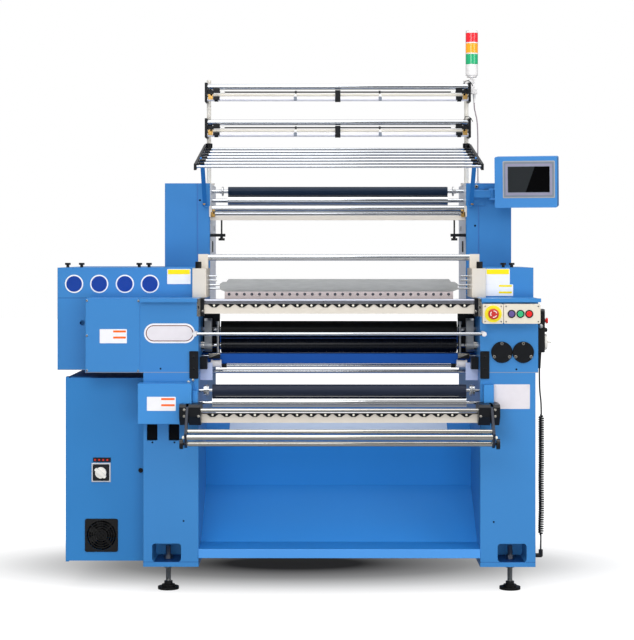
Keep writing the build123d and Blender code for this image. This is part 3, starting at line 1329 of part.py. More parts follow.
def bar_panels():
    """Cream panels: the head's bed, the lower panel and the yarn plate."""
    bed = block(-BED_HALF, BED_HALF, BED_FRONT, BED_BACK, BED_LOW, BED_HIGH)
    lower = block(-LOWER_PANEL_HALF, LOWER_PANEL_HALF, LOWER_PANEL_Y, LOWER_PANEL_Y + LOWER_PANEL_SHEET,
                  LOWER_PANEL_LOW, LOWER_PANEL_HIGH)
    plate = block(-INNER, INNER, GUIDE_ROD[0] - YARN_PLATE_DEPTH / 2, GUIDE_ROD[0] + YARN_PLATE_DEPTH / 2,
                  YARN_PLATE_LOW, YARN_PLATE_HIGH)
    return [bed, lower, plate]


def comb(half, front, top):
    """Black comb plate: a band with a row of tapered teeth that hang from it."""
    points = [(-half, top), (-half, top - COMB_BAND)]
    first = -TOOTH_PITCH * (TOOTH_COUNT - 1) / 2
    for step in range(TOOTH_COUNT):
        x = first + TOOTH_PITCH * step
        reach = TOOTH_PITCH / 2 - 3
        points.append((x - reach, top - COMB_BAND))
        points.append((x - TOOTH_TIP / 2, top - TOOTH_DROP))
        points.append((x + TOOTH_TIP / 2, top - TOOTH_DROP))
        points.append((x + reach, top - COMB_BAND))
    points.append((half, top - COMB_BAND))
    points.append((half, top))
    return from_front(points, front - COMB_SHEET, front)


def combs():
    """Comb plates on the bed's front and on the lower panel."""
    upper = comb(BED_HALF, BED_FRONT, BED_HIGH)
    lower = comb(LOWER_PANEL_HALF, LOWER_PANEL_Y, LOWER_PANEL_HIGH)
    return [upper, lower]


def rocker_arms():
    """Aluminium rocker arms, upright bars with a round boss, on pins in the housings' inner faces."""
    front = ROCKER_Y - ROCKER_BAR / 2
    back = ROCKER_Y + ROCKER_BAR / 2
    end = ROCKER_INNER + ROCKER_WIDTH
    outline = [
        (front, ROCKER_PIVOT_Z),
        (front, ROCKER_TOP - 8),
        (front + 8, ROCKER_TOP),
        (back, ROCKER_TOP),
        (back, ROCKER_PIVOT_Z),
    ]
    arm = from_side(outline, ROCKER_INNER, end)
    arm += bar_x(ROCKER_INNER, end, ROCKER_Y, ROCKER_PIVOT_Z, ROCKER_BOSS)
    arm -= bar_x(ROCKER_INNER - 1, end + 1, ROCKER_Y, ROCKER_PIVOT_Z, ROCKER_PIN + FIT)
    return pair(arm)


def drive_roller(z, radius):
    """Black drive roller with journals in the housings."""
    return roller(DRIVE_HALF, radius, DRIVE_JOURNAL, DRIVE_Y, z, INNER + SHAFT_SEAT - SEAT_END)


def take_roller(z, radius):
    """Take-down roller with a disc collar on each journal."""
    end = INNER + SHAFT_SEAT - SEAT_END
    steps = [
        (-end, TAKE_JOURNAL),
        (-COLLAR_HIGH, TAKE_COLLAR_RADIUS),
        (-COLLAR_LOW, TAKE_JOURNAL),
        (-TAKE_HALF, radius),
        (TAKE_HALF, TAKE_JOURNAL),
        (COLLAR_LOW, TAKE_COLLAR_RADIUS),
        (COLLAR_HIGH, TAKE_JOURNAL),
        (end, None),
    ]
    return turned_x(TAKE_Y, z, steps)


def press_roller():
    """Steel press roller under the rubber roller."""
    return roller(TAKE_HALF, STEEL_RADIUS, TAKE_JOURNAL, TAKE_Y, STEEL_Z, INNER + SHAFT_SEAT - SEAT_END)


def pendant_body():
    """Hand pendant hooked to the right housing: case, neck ring and hook."""
    x0 = RIGHT_REACH
    x1 = x0 + PENDANT_DEPTH
    half = PENDANT_WIDTH / 2
    body = block(x0, x1, PENDANT_Y - half, PENDANT_Y + half, PENDANT_LOW, PENDANT_HIGH)
    body = fillet(body.edges().filter_by(Axis.X), 12)
    hook = block(x0, x0 + 6, PENDANT_Y - 12, PENDANT_Y + 12, PENDANT_HIGH - 1, PENDANT_HIGH + 22)
    body = body + hook
    body += bar_x(x1 - 1, x1 + 4, PENDANT_Y, PENDANT_STOP_Z, PENDANT_STOP_RADIUS + 2)
    body -= bar_x(x1 - 12, x1 + 5, PENDANT_Y, PENDANT_STOP_Z, PENDANT_STOP_RADIUS * 0.6 + FIT)
    body += bar_x(x1 - 1, x1 + 9, PENDANT_Y - 22, PENDANT_STOP_Z - 34, 8)
    body += bar_x(x1 - 1, x1 + 9, PENDANT_Y + 22, PENDANT_STOP_Z - 34, 8)
    body += bar_x(x1 - 1, x1 + DIAL_DEPTH / 2, PENDANT_Y, DIAL_Z, DIAL_PIN)
    return body


def pendant_dial():
    """Hand wheel on the pendant with its crank grip."""
    x0 = RIGHT_REACH + PENDANT_DEPTH + FREE
    dial = bar_x(x0, x0 + DIAL_DEPTH, PENDANT_Y, DIAL_Z, DIAL_RADIUS)
    dial = chamfer(dial.edges().filter_by(GeomType.CIRCLE).sort_by(Axis.X)[-1], 3)
    dial -= bar_x(x0 - 1, x0 + DIAL_DEPTH / 2 + FREE, PENDANT_Y, DIAL_Z, DIAL_PIN + FIT)
    dial += bar_x(x0 + DIAL_DEPTH - 1, x0 + DIAL_DEPTH + 14, PENDANT_Y - CRANK_OFFSET, DIAL_Z, 4)
    return dial


def pendant_stop():
    """Small red stop button on the pendant."""
    x1 = RIGHT_REACH + PENDANT_DEPTH + 4
    face = x1 + PENDANT_STOP_TRAVEL + FREE
    head = bar_x(face, face + 8, PENDANT_Y, PENDANT_STOP_Z, PENDANT_STOP_RADIUS)
    head = fillet(head.edges().filter_by(GeomType.CIRCLE).sort_by(Axis.X)[-1], 3)
    stem = bar_x(x1 - 10, face + 1, PENDANT_Y, PENDANT_STOP_Z, PENDANT_STOP_RADIUS * 0.6)
    return head + stem


def cable_glands():
    """Strain reliefs and glands of the hand cable and of the tower light's cable."""
    x, y, z = HAND_CABLE[0]
    relief = Pos(x, y, z) * Cone(CABLE_RADIUS + 1.5, CABLE_RADIUS + 5, RELIEF_LENGTH,
                                 align=(Align.CENTER, Align.CENTER, Align.MIN))
    tail_x, tail_y, tail_z = HAND_TAIL[-1]
    foot_z = tail_z - 22
    elbow = bar_z(tail_x, tail_y, foot_z, tail_z, ELBOW_RADIUS)
    elbow += bar_x(OUTER, tail_x, tail_y, foot_z, ELBOW_RADIUS)
    elbow += Pos(tail_x, tail_y, foot_z) * Sphere(ELBOW_RADIUS)
    elbow += bar_x(OUTER, OUTER + 5, tail_y, foot_z, ELBOW_RADIUS + 4)
    x, y, z = TOWER_CABLE[0]
    tower = Pos(x, y, z) * Cone(TOWER_CABLE_RADIUS + 1, TOWER_CABLE_RADIUS + 4, TOWER_BRACKET_LOW - z,
                                align=(Align.CENTER, Align.CENTER, Align.MIN))
    x, y, z = TOWER_CABLE[-1]
    gland = bar_z(x, y, UPPER_TOP, z, TOWER_CABLE_RADIUS + 4)
    gland += bar_z(x, y, UPPER_TOP, UPPER_TOP + 5, TOWER_CABLE_RADIUS + 7)
    return [relief, elbow, tower, gland]


def cord_tube(points, radius, label):
    """Tube of straight runs joined by tangent arcs as large as the runs allow."""
    radii = []
    for before, here, after in zip(points, points[1:], points[2:]):
        run_in = Vector(*here) - Vector(*before)
        run_out = Vector(*after) - Vector(*here)
        turn = math.radians(run_in.get_angle(run_out))
        shorter = min(run_in.length, run_out.length)
        radii.append(0.45 * shorter / math.tan(turn / 2))
    print(label, "bend radii", [round(value, 1) for value in radii])
    path = FilletPolyline(*points, radius=radii)
    start = Plane(origin=path @ 0, z_dir=path % 0)
    tube = sweep(start * Circle(radius), path=path)
    print(label, "volume over section times length",
          round(tube.volume / (math.pi * radius ** 2 * path.length), 4), "length", round(path.length, 1))
    return tube


def all_pieces():
    """Every node's name with its solids, in the layout frame."""
    return {
        "left_column": [left_column()],
        "right_column": [lower_column()],
        "upper_columns": upper_columns(),
        "levelling_feet": levelling_feet(),
        "fabric_trough": [fabric_trough()],
        "cross_beams": cross_beams(),
        "left_housing": [left_housing()],
        "left_access_panel": [left_access_panel()],
        "right_housing": [right_housing()],
        "knob_screws": knob_screws(),
        "bolted_plates": bolted_plates(),
        "side_boxes": side_boxes(),
        "cabinet_shell": cabinet_shell(),
        "cabinet_door": [cabinet_door()],
        "cabinet_plate": cabinet_plate(),
        "door_fittings": door_fittings(),
        "fan_guard": fan_guard(),
        "fan_rotor": [fan_rotor()],
        "switch_knob": [switch_knob()],
        "control_boxes": control_boxes(),
        "estop_button": [estop_button()],
        "start_button": [push_button(0)],
        "jog_button": [push_button(1)],
        "stop_button": [push_button(2)],
        "creel_poles": creel_poles(),
        "creel_brackets": creel_brackets(),
        "creel_rods": creel_rods(),
        "upper_creel_roller": [creel_roller(0)],
        "lower_creel_roller": [creel_roller(1)],
        "rack_arms": rack_arms(),
        "rack_rods": rack_rods(),
        "tower_bracket": [tower_bracket()],
        "tower_base": [tower_base()],
        "tower_lenses": tower_lenses(),
        "screen_arm": [screen_arm()],
        "screen_housing": [screen_housing()],
        "rubber_feed_roller": [feed_roller(FEED_RUBBER, FEED_RUBBER_RADIUS)],
        "chrome_feed_roller": [feed_roller(FEED_CHROME, FEED_CHROME_RADIUS)],
        "chrome_guide_roller": [guide_roller()],
        "guide_rods": guide_rods(),
        "end_boxes": end_boxes(),
        "weft_bar": [weft_bar()],
        "needle_strip": [needle_strip()],
        "bar_panels": bar_panels(),
        "combs": combs(),
        "rocker_arms": rocker_arms(),
        "upper_drive_roller": [drive_roller(DRIVE_UPPER_Z, DRIVE_UPPER_RADIUS)],
        "lower_drive_roller": [drive_roller(DRIVE_LOWER_Z, DRIVE_LOWER_RADIUS)],
        "takedown_roller": [take_roller(RUBBER_Z, RUBBER_RADIUS)],
        "press_roller": [press_roller()],
        "end_brackets": end_brackets(),
        "fabric_arms": fabric_arms(),
        "fabric_rods": fabric_rods(),
        "pendant_body": [pendant_body()],
        "pendant_dial": [pendant_dial()],
        "pendant_stop": [pendant_stop()],
        "cable_glands": cable_glands(),
        "pendant_cable": [cord_tube(HAND_CABLE, CABLE_RADIUS, "hand cable"),
                          cord_tube(HAND_TAIL, CABLE_RADIUS, "hand cable tail")],
        "pendant_curl": [cord_tube(HAND_CURL, CURL_RADIUS, "curly stretch")],
        "tower_cable": [cord_tube(TOWER_CABLE, TOWER_CABLE_RADIUS, "tower cable")],
    }


CORD_NODES = ("pendant_cable", "pendant_curl", "tower_cable")


def main():
    """Build every node, move the footprint's middle to the origin and write the files."""
    os.makedirs("parts", exist_ok=True)
    nodes = {}
    rigid = []
    for name, shapes in all_pieces().items():
        solids = []
        for shape in shapes:
            solids += shape.solids()
        nodes[name] = solids
        if name not in CORD_NODES:
            rigid += solids
    box = Compound(rigid).bounding_box()
    shift = Pos(-(box.min.X + box.max.X) / 2, -(box.min.Y + box.max.Y) / 2, -box.min.Z)
    print("shift", [round(value, 4) for value in shift.position])
    for name, solids in nodes.items():
        moved = [shift * solid for solid in solids]
        whole = moved[0] if len(moved) == 1 else Compound(moved)
        export_step(whole, os.path.join("parts", name + ".step"))


main()
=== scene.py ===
import math

import bmesh
import bpy
from mathutils import Matrix, Vector


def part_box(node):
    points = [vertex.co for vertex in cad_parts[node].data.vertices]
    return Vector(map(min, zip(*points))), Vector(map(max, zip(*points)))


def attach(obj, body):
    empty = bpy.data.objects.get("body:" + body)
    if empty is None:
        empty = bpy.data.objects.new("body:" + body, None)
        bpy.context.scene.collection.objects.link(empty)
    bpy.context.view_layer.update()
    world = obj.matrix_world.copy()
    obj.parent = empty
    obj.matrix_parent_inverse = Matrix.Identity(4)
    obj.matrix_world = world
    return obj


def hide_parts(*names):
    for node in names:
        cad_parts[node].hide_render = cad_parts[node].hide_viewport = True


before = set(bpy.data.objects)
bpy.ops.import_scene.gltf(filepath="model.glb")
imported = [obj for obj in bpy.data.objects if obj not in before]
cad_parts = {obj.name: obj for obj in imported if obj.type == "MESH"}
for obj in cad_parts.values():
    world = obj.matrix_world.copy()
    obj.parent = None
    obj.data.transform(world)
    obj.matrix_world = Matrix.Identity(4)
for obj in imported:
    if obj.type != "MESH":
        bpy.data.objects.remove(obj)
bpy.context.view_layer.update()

# The lower columns
# Two folded sheet-steel boxes on welded base plates, powder-coated blue.
# They stand apart by the working width, and the machine's layout is measured from between them.
LEFT_INNER_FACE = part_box("left_column")[1].x
RIGHT_INNER_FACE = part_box("right_column")[0].x
COLUMN_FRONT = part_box("right_column")[0].y
ORIGIN = Vector(((LEFT_INNER_FACE + RIGHT_INNER_FACE) / 2, COLUMN_FRONT, 0))
BASE_PLATE_TOP = 0.115
SEAM_HALF = 0.0008
MACHINE_BLUE = "387DBC"


def spot(x, y, z):
    """A point given from the middle between the columns, their front faces and the floor."""
    return ORIGIN + Vector((x, y, z))


def tint(code, shade=1.0):
    """Linear colour of a six-figure screen colour, made lighter or darker by shade."""
    channels = [int(code[step:step + 2], 16) / 255 for step in (0, 2, 4)]
    linear = [c / 12.92 if c <= 0.04045 else ((c + 0.055) / 1.055) ** 2.4 for c in channels]
    return tuple(min(1.0, c * shade) for c in linear) + (1.0,)


class Socket:
    """A node's output that takes part in Python sums."""

    def __init__(self, sheet, socket):
        self.sheet = sheet
        self.socket = socket

    def maths(self, operation, *values):
        return self.sheet.node("Math", {"operation": operation}, dict(enumerate(values)))

    def __add__(self, other):
        return self.maths("ADD", self, other)

    def __radd__(self, other):
        return self.maths("ADD", other, self)

    def __sub__(self, other):
        return self.maths("SUBTRACT", self, other)

    def __mul__(self, other):
        return self.maths("MULTIPLY", self, other)

    def __rmul__(self, other):
        return self.maths("MULTIPLY", other, self)

    def __gt__(self, other):
        return self.maths("GREATER_THAN", self, other)

    def __lt__(self, other):
        return self.maths("LESS_THAN", self, other)

    def __abs__(self):
        return self.maths("ABSOLUTE", self)

    def between(self, low, high):
        """1 where the value lies between low and high, and 0 elsewhere."""
        return (self > low) * (self < high)


class NodeSheet:
    """The nodes of a material or of the surround, all made by one method."""

    def __init__(self, tree):
        self.tree = tree

    def node(self, kind, settings=None, values=None, output=0):
        made = self.tree.nodes.new("ShaderNode" + kind)
        for key, value in (settings or {}).items():
            if key == "stops":
                ramp = made.color_ramp
                while len(ramp.elements) < len(value):
                    ramp.elements.new(0.5)
                for element, (at, shown) in zip(ramp.elements, value):
                    element.position = at
                    element.color = shown
            else:
                setattr(made, key, value)
        for key, value in (values or {}).items():
            self.join(value, made.inputs[key])
        return Socket(self, made.outputs[output])

    def join(self, value, socket):
        if isinstance(value, Socket):
            self.tree.links.new(value.socket, socket)
        else:
            socket.default_value = value

    def mix(self, share, low, high):
        return self.node("Mix", {"data_type": "RGBA"}, {0: share, 6: low, 7: high}, output=2)


class Finish(NodeSheet):
    """A material whose nodes are written as Python expressions."""

    def __init__(self, name, fixed=None):
        self.material = bpy.data.materials.new(name)
        self.material.use_nodes = True
        super().__init__(self.material.node_tree)
        self.shader = self.tree.nodes["Principled BSDF"]
        for socket, value in (fixed or {}).items():
            self.shader.inputs[socket].default_value = value
        self.place = self.node("TexCoord", output="Object")
        self.across, self.deep, self.high = (
            self.node("SeparateXYZ", {}, {0: self.place}, axis) - start for axis, start in enumerate(ORIGIN))

    def feed(self, name, value):
        self.join(value, self.shader.inputs[name])

    def grain(self, size, detail=3.0, stretch=(1, 1, 1)):
        """Noise between 0 and 1 whose spots are about size metres wide."""
        scaled = self.node("VectorMath", {"operation": "MULTIPLY"}, {0: self.place, 1: stretch})
        return self.node("TexNoise", {}, {"Vector": scaled, "Scale": 1 / size, "Detail": detail})

    def bump(self, height, strength, distance=0.001):
        raised = {"Height": height, "Strength": strength, "Distance": distance}
        self.feed("Normal", self.node("Bump", {}, raised))


def powder_coat(name, code, roughness=0.42, seams_and_painted_light=(), coat=0.08):
    """Baked powder coat with a little orange peel. Each entry in seams_and_painted_light is (mask, colour):
    a seam line, or a field of painted shade or of painted highlight.
    """
    paint = Finish(name, {"Coat Weight": coat, "Coat Roughness": 0.2, "Specular IOR Level": 0.28})
    cloud = paint.grain(0.45, 2.0)
    peel = paint.grain(0.0035, 1.0)
    body = paint.mix(cloud, tint(code, 0.93), tint(code, 1.07))
    for mask, seam_and_light_code in seams_and_painted_light:
        body = paint.mix(mask(paint), body, tint(seam_and_light_code))
    paint.feed("Base Color", body)
    paint.feed("Roughness", roughness - 0.05 + 0.1 * peel)
    paint.bump(peel, 0.06, 0.0006)
    return paint


def dress(node, finish, *regions):
    """Gives a CAD node its finish. A region is (finish, low corner, high corner) of its faces."""
    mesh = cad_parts[node].data
    mesh.materials.clear()
    mesh.materials.append(finish.material)
    for face in mesh.polygons:
        face.material_index = 0
    for other, low, high in regions:
        mesh.materials.append(other.material)
        start, end = spot(*low), spot(*high)
        for face in mesh.polygons:
            middle = face.center
            if all(a <= c <= b for a, c, b in zip(start, middle, end)):
                face.material_index = len(mesh.materials) - 1


def both_sides(finish, low, high):
    """A region of the machine's right side, and its mirror image on the left."""
    return (finish, (-high[0], *low[1:]), (-low[0], *high[1:])), (finish, low, high)


def base_seam(paint):
    return paint.high.between(BASE_PLATE_TOP - SEAM_HALF, BASE_PLATE_TOP + SEAM_HALF)


SEAM_BLUE = "14427F"
column_paint = powder_coat("column_paint", MACHINE_BLUE, seams_and_painted_light=[(base_seam, SEAM_BLUE)])
dress("left_column", column_paint)
dress("right_column", column_paint)


def add_object(name, data):
    """A new object in the scene."""
    made = bpy.data.objects.new(name, data)
    bpy.context.scene.collection.objects.link(made)
    return made


class Piece:
    """A mesh put together from turned, cut and drawn parts, in layout metres."""

    ACROSS = Vector((1, 0, 0))
    DEEP = Vector((0, 1, 0))
    UP = Vector((0, 0, 1))
    FACING = {
        "front": (ACROSS, UP, -DEEP),
        "right": (DEEP, UP, ACROSS),
        "left": (-DEEP, UP, -ACROSS),
        "top": (ACROSS, DEEP, UP),
    }

    def __init__(self):
        self.bm = bmesh.new()
        self.finishes = []

    def skin(self, finish, rings):
        """Joins rings of points into a skin, and closes its two ends."""
        if finish not in self.finishes:
            self.finishes.append(finish)
        index = self.finishes.index(finish)
        made = [[self.bm.verts.new(point) for point in ring] for ring in rings]
        count = len(rings[0])
        for low, high in zip(made, made[1:]):
            for step in range(count):
                after = (step + 1) % count
                face = self.bm.faces.new((low[step], low[after], high[after], high[step]))
                face.material_index = index
        for ring in (list(reversed(made[0])), made[-1]):
            self.bm.faces.new(ring).material_index = index

    def turn(self, finish, place, profile, sides=20, facing="front"):
        """Turned part: profile is (reach along the facing, radius) from the back to the front."""
        u, v, out = self.FACING[facing]
        rings = []
        for reach, radius in profile:
            ring = []
            for step in range(sides):
                angle = 2 * math.pi * step / sides
                around = u * math.cos(angle) + v * math.sin(angle)
                ring.append(spot(*place) + out * reach + around * radius)
            rings.append(ring)
        self.skin(finish, rings)

    def drum(self, finish, place, radius, back, front, sides=20, facing="front"):
        """Straight round part from back to front along its facing."""
        self.turn(finish, place, ((back, radius), (front, radius)), sides, facing)

    def head(self, finish, place, radius, tip, reaches, sides=18, facing="front"):
        """Round head. Its back, its rim and its tip lie at the three reaches."""
        back, rim, top = reaches
        self.turn(finish, place, ((back, radius), (rim, radius), (top, tip)), sides, facing)

    def plate(self, finish, place, outline, back, front, edge=0.0003, facing="front"):
        """Flat part with an outline round place, from back to front along its facing."""
        u, v, out = self.FACING[facing]
        reach = max(abs(a) for point in outline for a in point)
        rings = []
        for height, shrink in ((back, 0.0), (front - edge, 0.0), (front, edge)):
            share = 1 - shrink / reach
            rings.append([spot(*place) + out * height + u * a * share + v * b * share for a, b in outline])
        self.skin(finish, rings)

    def wire(self, finish, points, radius, sides=8):
        """Round wire that follows points."""
        places = [spot(*point) for point in points]
        rings = []
        for step, place in enumerate(places):
            before = places[max(step - 1, 0)]
            after = places[min(step + 1, len(places) - 1)]
            turn = (after - before).to_track_quat("Z", "Y").to_matrix()
            ring = []
            for side in range(sides):
                angle = 2 * math.pi * side / sides
                ring.append(place + turn @ Vector((math.cos(angle), math.sin(angle), 0)) * radius)
            rings.append(ring)
        self.skin(finish, rings)

    def done(self, name, body="root"):
        """Makes the object, which rides on its CAD body."""
        bmesh.ops.recalc_face_normals(self.bm, faces=self.bm.faces)
        mesh = bpy.data.meshes.new(name)
        for face in self.bm.faces:
            face.smooth = True
        self.bm.to_mesh(mesh)
        self.bm.free()
        mesh.set_sharp_from_angle(angle=math.radians(32))
        for finish in self.finishes:
            mesh.materials.append(finish.material)
        made = add_object(name, mesh)
        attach(made, body)


def rounded(width, height, radius, steps=5):
    """Outline of a rounded rectangle round its middle."""
    points = []
    for corner, (sx, sy) in enumerate(((1, 1), (-1, 1), (-1, -1), (1, -1))):
        for step in range(steps + 1):
            angle = math.pi / 2 * (corner + step / steps)
            points.append((sx * (width / 2 - radius) + radius * math.cos(angle),
                           sy * (height / 2 - radius) + radius * math.sin(angle)))
    return points


def round_outline(radius, sides=40):
    return [(radius * math.cos(2 * math.pi * k / sides), radius * math.sin(2 * math.pi * k / sides))
            for k in range(sides)]


# Tapped holes in the sheet
# Bare round holes left open in the fronts of the columns and housings, a few millimetres wide, drawn as
# near-black discs of painted shade.
# Two upright slots in the left column hold near-black plates of painted shade for the dark inside of its
# sheet box.
HOLE_RADIUS = 0.0035
SLOT_PLACES = (-0.7014, -0.6183)
SLOT_DEEP = 0.006
SLOT_LEVEL = 0.602
SLOT_SIZE = (0.0386, 0.0584)
FRONT_HOLES = ((-0.584, 0.269), (0.579, 0.266), (-0.701, 0.5635), (-0.618, 0.5635), (-0.6705, 0.840),
               (0.664, 0.838))
# Painted shade: holes, slots and sockets are near-black discs and plates on the surface, standing in for the
# shade inside them.
painted_hole_shade = Finish("painted_hole_shade", {"Specular IOR Level": 0.1})
painted_hole_shade.feed("Base Color", painted_hole_shade.mix(painted_hole_shade.grain(0.002), tint("050608"), tint("0D1014")))
painted_hole_shade.feed("Roughness", 0.7 + 0.2 * painted_hole_shade.grain(0.001))
holes = Piece()
for x, z in FRONT_HOLES:
    holes.drum(painted_hole_shade, (x, 0, z), HOLE_RADIUS, -0.001, 0.0003, 16)
for x in SLOT_PLACES:
    holes.plate(painted_hole_shade, (x, SLOT_DEEP, SLOT_LEVEL), rounded(*SLOT_SIZE, 0.002, 2), -0.001, 0.0)
holes.done("tapped_holes")

# The levelling feet
# Bought-in machine feet: a moulded pad, a threaded stud and two zinc-plated nuts.
FOOT_PAD_TOP = 0.031
THREAD_PITCH = 0.0025


def plated_steel(name, code, roughness=0.28):
    """Zinc or nickel plate: metal with faint clouding."""
    metal = Finish(name, {"Metallic": 1.0})
    cloud = metal.grain(0.012)
    metal.feed("Base Color", metal.mix(cloud, tint(code, 0.86), tint(code, 1.08)))
    metal.feed("Roughness", roughness - 0.06 + 0.12 * cloud)
    metal.bump(metal.grain(0.0012, 2.0), 0.05, 0.0004)
    return metal


def moulded_plastic(name, code, roughness=0.42):
    """Moulded plastic with a fine eroded surface."""
    plastic = Finish(name, {"Specular IOR Level": 0.45})
    cloud = plastic.grain(0.03, 2.0)
    pores = plastic.grain(0.0012, 1.0)
    plastic.feed("Base Color", plastic.mix(cloud, tint(code, 0.9), tint(code, 1.1)))
    plastic.feed("Roughness", roughness - 0.05 + 0.1 * pores)
    plastic.bump(pores, 0.08, 0.0004)
    return plastic


zinc_thread = plated_steel("zinc_thread", "C9C6BE", 0.3)
thread = zinc_thread.node("Math", {"operation": "PINGPONG"}, {0: zinc_thread.high, 1: THREAD_PITCH / 2})
zinc_thread.bump(thread * (2 / THREAD_PITCH), 0.8, 0.0012)
pad_black = moulded_plastic("pad_black", "08090B", 0.35)
dress("levelling_feet", zinc_thread, (pad_black, (-1, -1, -0.001), (1, 2, FOOT_PAD_TOP)))

# The fabric trough and the cross beams
# One sheet folded to a back panel, a slope, a floor and a lip, and three box beams, coated blue.
FLANGE_FRONT = 0.4135
FLANGE_HALF = 0.435


def painted_flange_highlight(paint):
    """Painted highlight: the flange along the trough's back edge is painted pale over the fabric's width,
    standing in for the light it catches.
    """
    return (paint.deep > FLANGE_FRONT) * paint.across.between(-FLANGE_HALF, FLANGE_HALF)


# The trough's back flange carries a painted highlight in pale blue.
trough_paint = powder_coat("trough_paint", "227BC8", 0.5, seams_and_painted_light=[(painted_flange_highlight, "C4D4EC")], coat=0.0)
# Painted light: the lip's front face is a lighter copy of the trough's blue, standing in for the light
# falling on it.
lip_painted_light = powder_coat("lip_painted_light", "4B93DC", 0.5)
dress("fabric_trough", trough_paint, (lip_painted_light, (-0.6, -0.01, 0.12), (0.6, 0.005, 0.165)))
# Painted shade: the beams are a darker copy of the machine's blue, standing in for the shade they sit in
# behind the rollers.
dress("cross_beams", powder_coat("beam_painted_shade", "084A9C", 0.5, coat=0.0))

# The housings and their covers
# Welded sheet boxes on the columns. Their upper parts are lift-off covers held by thumb screws.
COVER_SEAM = 1.1015
HOUSING_FOOT = 0.825


def cover_seam(paint):
    return paint.high.between(COVER_SEAM - SEAM_HALF, COVER_SEAM + SEAM_HALF) * (paint.deep > 0.149)


def foot_joint(paint):
    return paint.high.between(HOUSING_FOOT, HOUSING_FOOT + 0.0026)


housing_paint = powder_coat("housing_paint", MACHINE_BLUE,
                            seams_and_painted_light=[(cover_seam, SEAM_BLUE), (foot_joint, "7D8CA3")])
dress("left_housing", housing_paint)
dress("right_housing", housing_paint)
dress("left_access_panel", powder_coat("panel_paint", MACHINE_BLUE))
dress("side_boxes", powder_coat("side_box_paint", "3C86C9"),
      (powder_coat("side_pale", "AEBBDD", 0.4, coat=0.0), (-0.529, 0.098, 0.785), (0.529, 0.106, 0.858)))
knob_black = moulded_plastic("knob_black", "0A0B0D", 0.33)
dress("knob_screws", knob_black)

# Screws in the panels
# Pan-head steel screws with a hexagon socket, in the access panel, plates and boxes.
SCREW_HEAD = 0.0042
PANEL_FRONT = -0.003
PANEL_SCREWS = ((-0.9465, 1.095), (-0.753, 1.094), (-0.9465, 0.9636), (-0.9465, 0.8328), (-0.7545, 0.8315))
bright_screw = plated_steel("bright_screw", "C8C4BA", 0.3)


def screw(piece, place, radius=SCREW_HEAD, height=0.0024, head=bright_screw):
    """Pan head, with its socket drawn as a dark disc of painted shade."""
    piece.head(head, place, radius, radius * 0.72, (0, height * 0.5, height))
    piece.drum(painted_hole_shade, place, radius * 0.45, height * 0.5, height + 0.0002, 6)


panel_screws = Piece()
for x, z in PANEL_SCREWS:
    screw(panel_screws, (x, PANEL_FRONT, z))
panel_screws.done("panel_screws")

# Plates on the sheet
# Thin film and aluminium plates, stuck or riveted to the housings and left plain.
COVER_FRONT = 0.150
BOX_FRONT = -0.080
DISC_PLACES = (-1.0166, -0.9203, -0.8217, -0.7254)
DISC_HEIGHT = 1.1556
DISC_RADIUS = 0.0352
FILM = 0.0006
OVAL = (-0.6366, 0.9728, 0.1915, 0.0738)
NAMEPLATE = (0.647, 0.7356, 0.135, 0.092)


def printed_film(name, code):
    """Coated film with a faint ripple."""
    film = Finish(name, {"Coat Weight": 0.05, "Coat Roughness": 0.2, "Specular IOR Level": 0.25})
    ripple = film.grain(0.02, 2.0)
    film.feed("Base Color", film.mix(ripple, tint(code, 0.95), tint(code, 1.04)))
    film.feed("Roughness", 0.32 + 0.08 * ripple)
    film.bump(ripple, 0.04, 0.0003)
    return film


film_white = printed_film("film_white", "E6E6EA")
film_blue = printed_film("film_blue", "0E3A92")
film_yellow = printed_film("film_yellow", "F2DC18")
film_orange = printed_film("film_orange", "F0671E")
film_brown = printed_film("film_brown", "6E3A30")
film_lilac = printed_film("film_lilac", "DAD6DC")
discs = Piece()
for x in DISC_PLACES:
    place = (x, COVER_FRONT, DISC_HEIGHT)
    discs.plate(film_white, place, round_outline(DISC_RADIUS), -FILM, FILM)
    discs.plate(film_blue, place, round_outline(DISC_RADIUS * 0.86), 0, FILM * 1.4)
discs.done("round_plates")


def banded_plate(piece, middle, front, size, band, bars):
    """White plate with coloured bars. A bar is (across, up, width, height) from the plate's middle."""
    width, height = size
    place = (middle[0], front, middle[1])
    piece.plate(film_white, place, rounded(width, height, 0.002, 2), -FILM, FILM)
    for across, up, bar_width, bar_height in bars:
        bar_place = (middle[0] + across, front, middle[1] + up)
        piece.plate(band, bar_place, rounded(bar_width, bar_height, 0.0005, 1), 0, FILM * 1.4)


banded = Piece()
banded_plate(banded, (-0.6142, 1.1838), COVER_FRONT, (0.090, 0.058), film_yellow,
             ((0, 0.0178, 0.084, 0.018),))
banded_plate(banded, (0.6090, 1.1838), COVER_FRONT, (0.092, 0.060), film_yellow,
             ((0, 0.0185, 0.086, 0.019),))
banded_plate(banded, (0.6155, 1.1315), COVER_FRONT, (0.105, 0.0445), film_yellow,
             ((0.0225, 0.0165, 0.050, 0.0075), (0.0225, -0.0085, 0.050, 0.0075)))
banded_plate(banded, (-0.8475, 0.9620), PANEL_FRONT, (0.102, 0.053), film_orange,
             ((0.0235, 0.0178, 0.048, 0.0075), (0.0235, -0.0050, 0.048, 0.0075)))
banded_plate(banded, (-0.6600, 0.7150), BOX_FRONT, (0.107, 0.052), film_orange,
             ((0.0245, 0.0178, 0.050, 0.0075), (0.0245, -0.0050, 0.050, 0.0075)))
banded.done("banded_plates")
oval = Piece()
x, z, width, height = OVAL
for finish, inset, lift in ((film_white, 0, 1.0), (film_brown, 0.0065, 1.4), (film_lilac, 0.0098, 1.8)):
    outline = rounded(width - 2 * inset, height - 2 * inset, height / 2 - inset - 0.0001, 14)
    oval.plate(finish, (x, 0, z), outline, -FILM, FILM * lift)
oval.done("oval_plate")
RIVET_INSET = 0.006
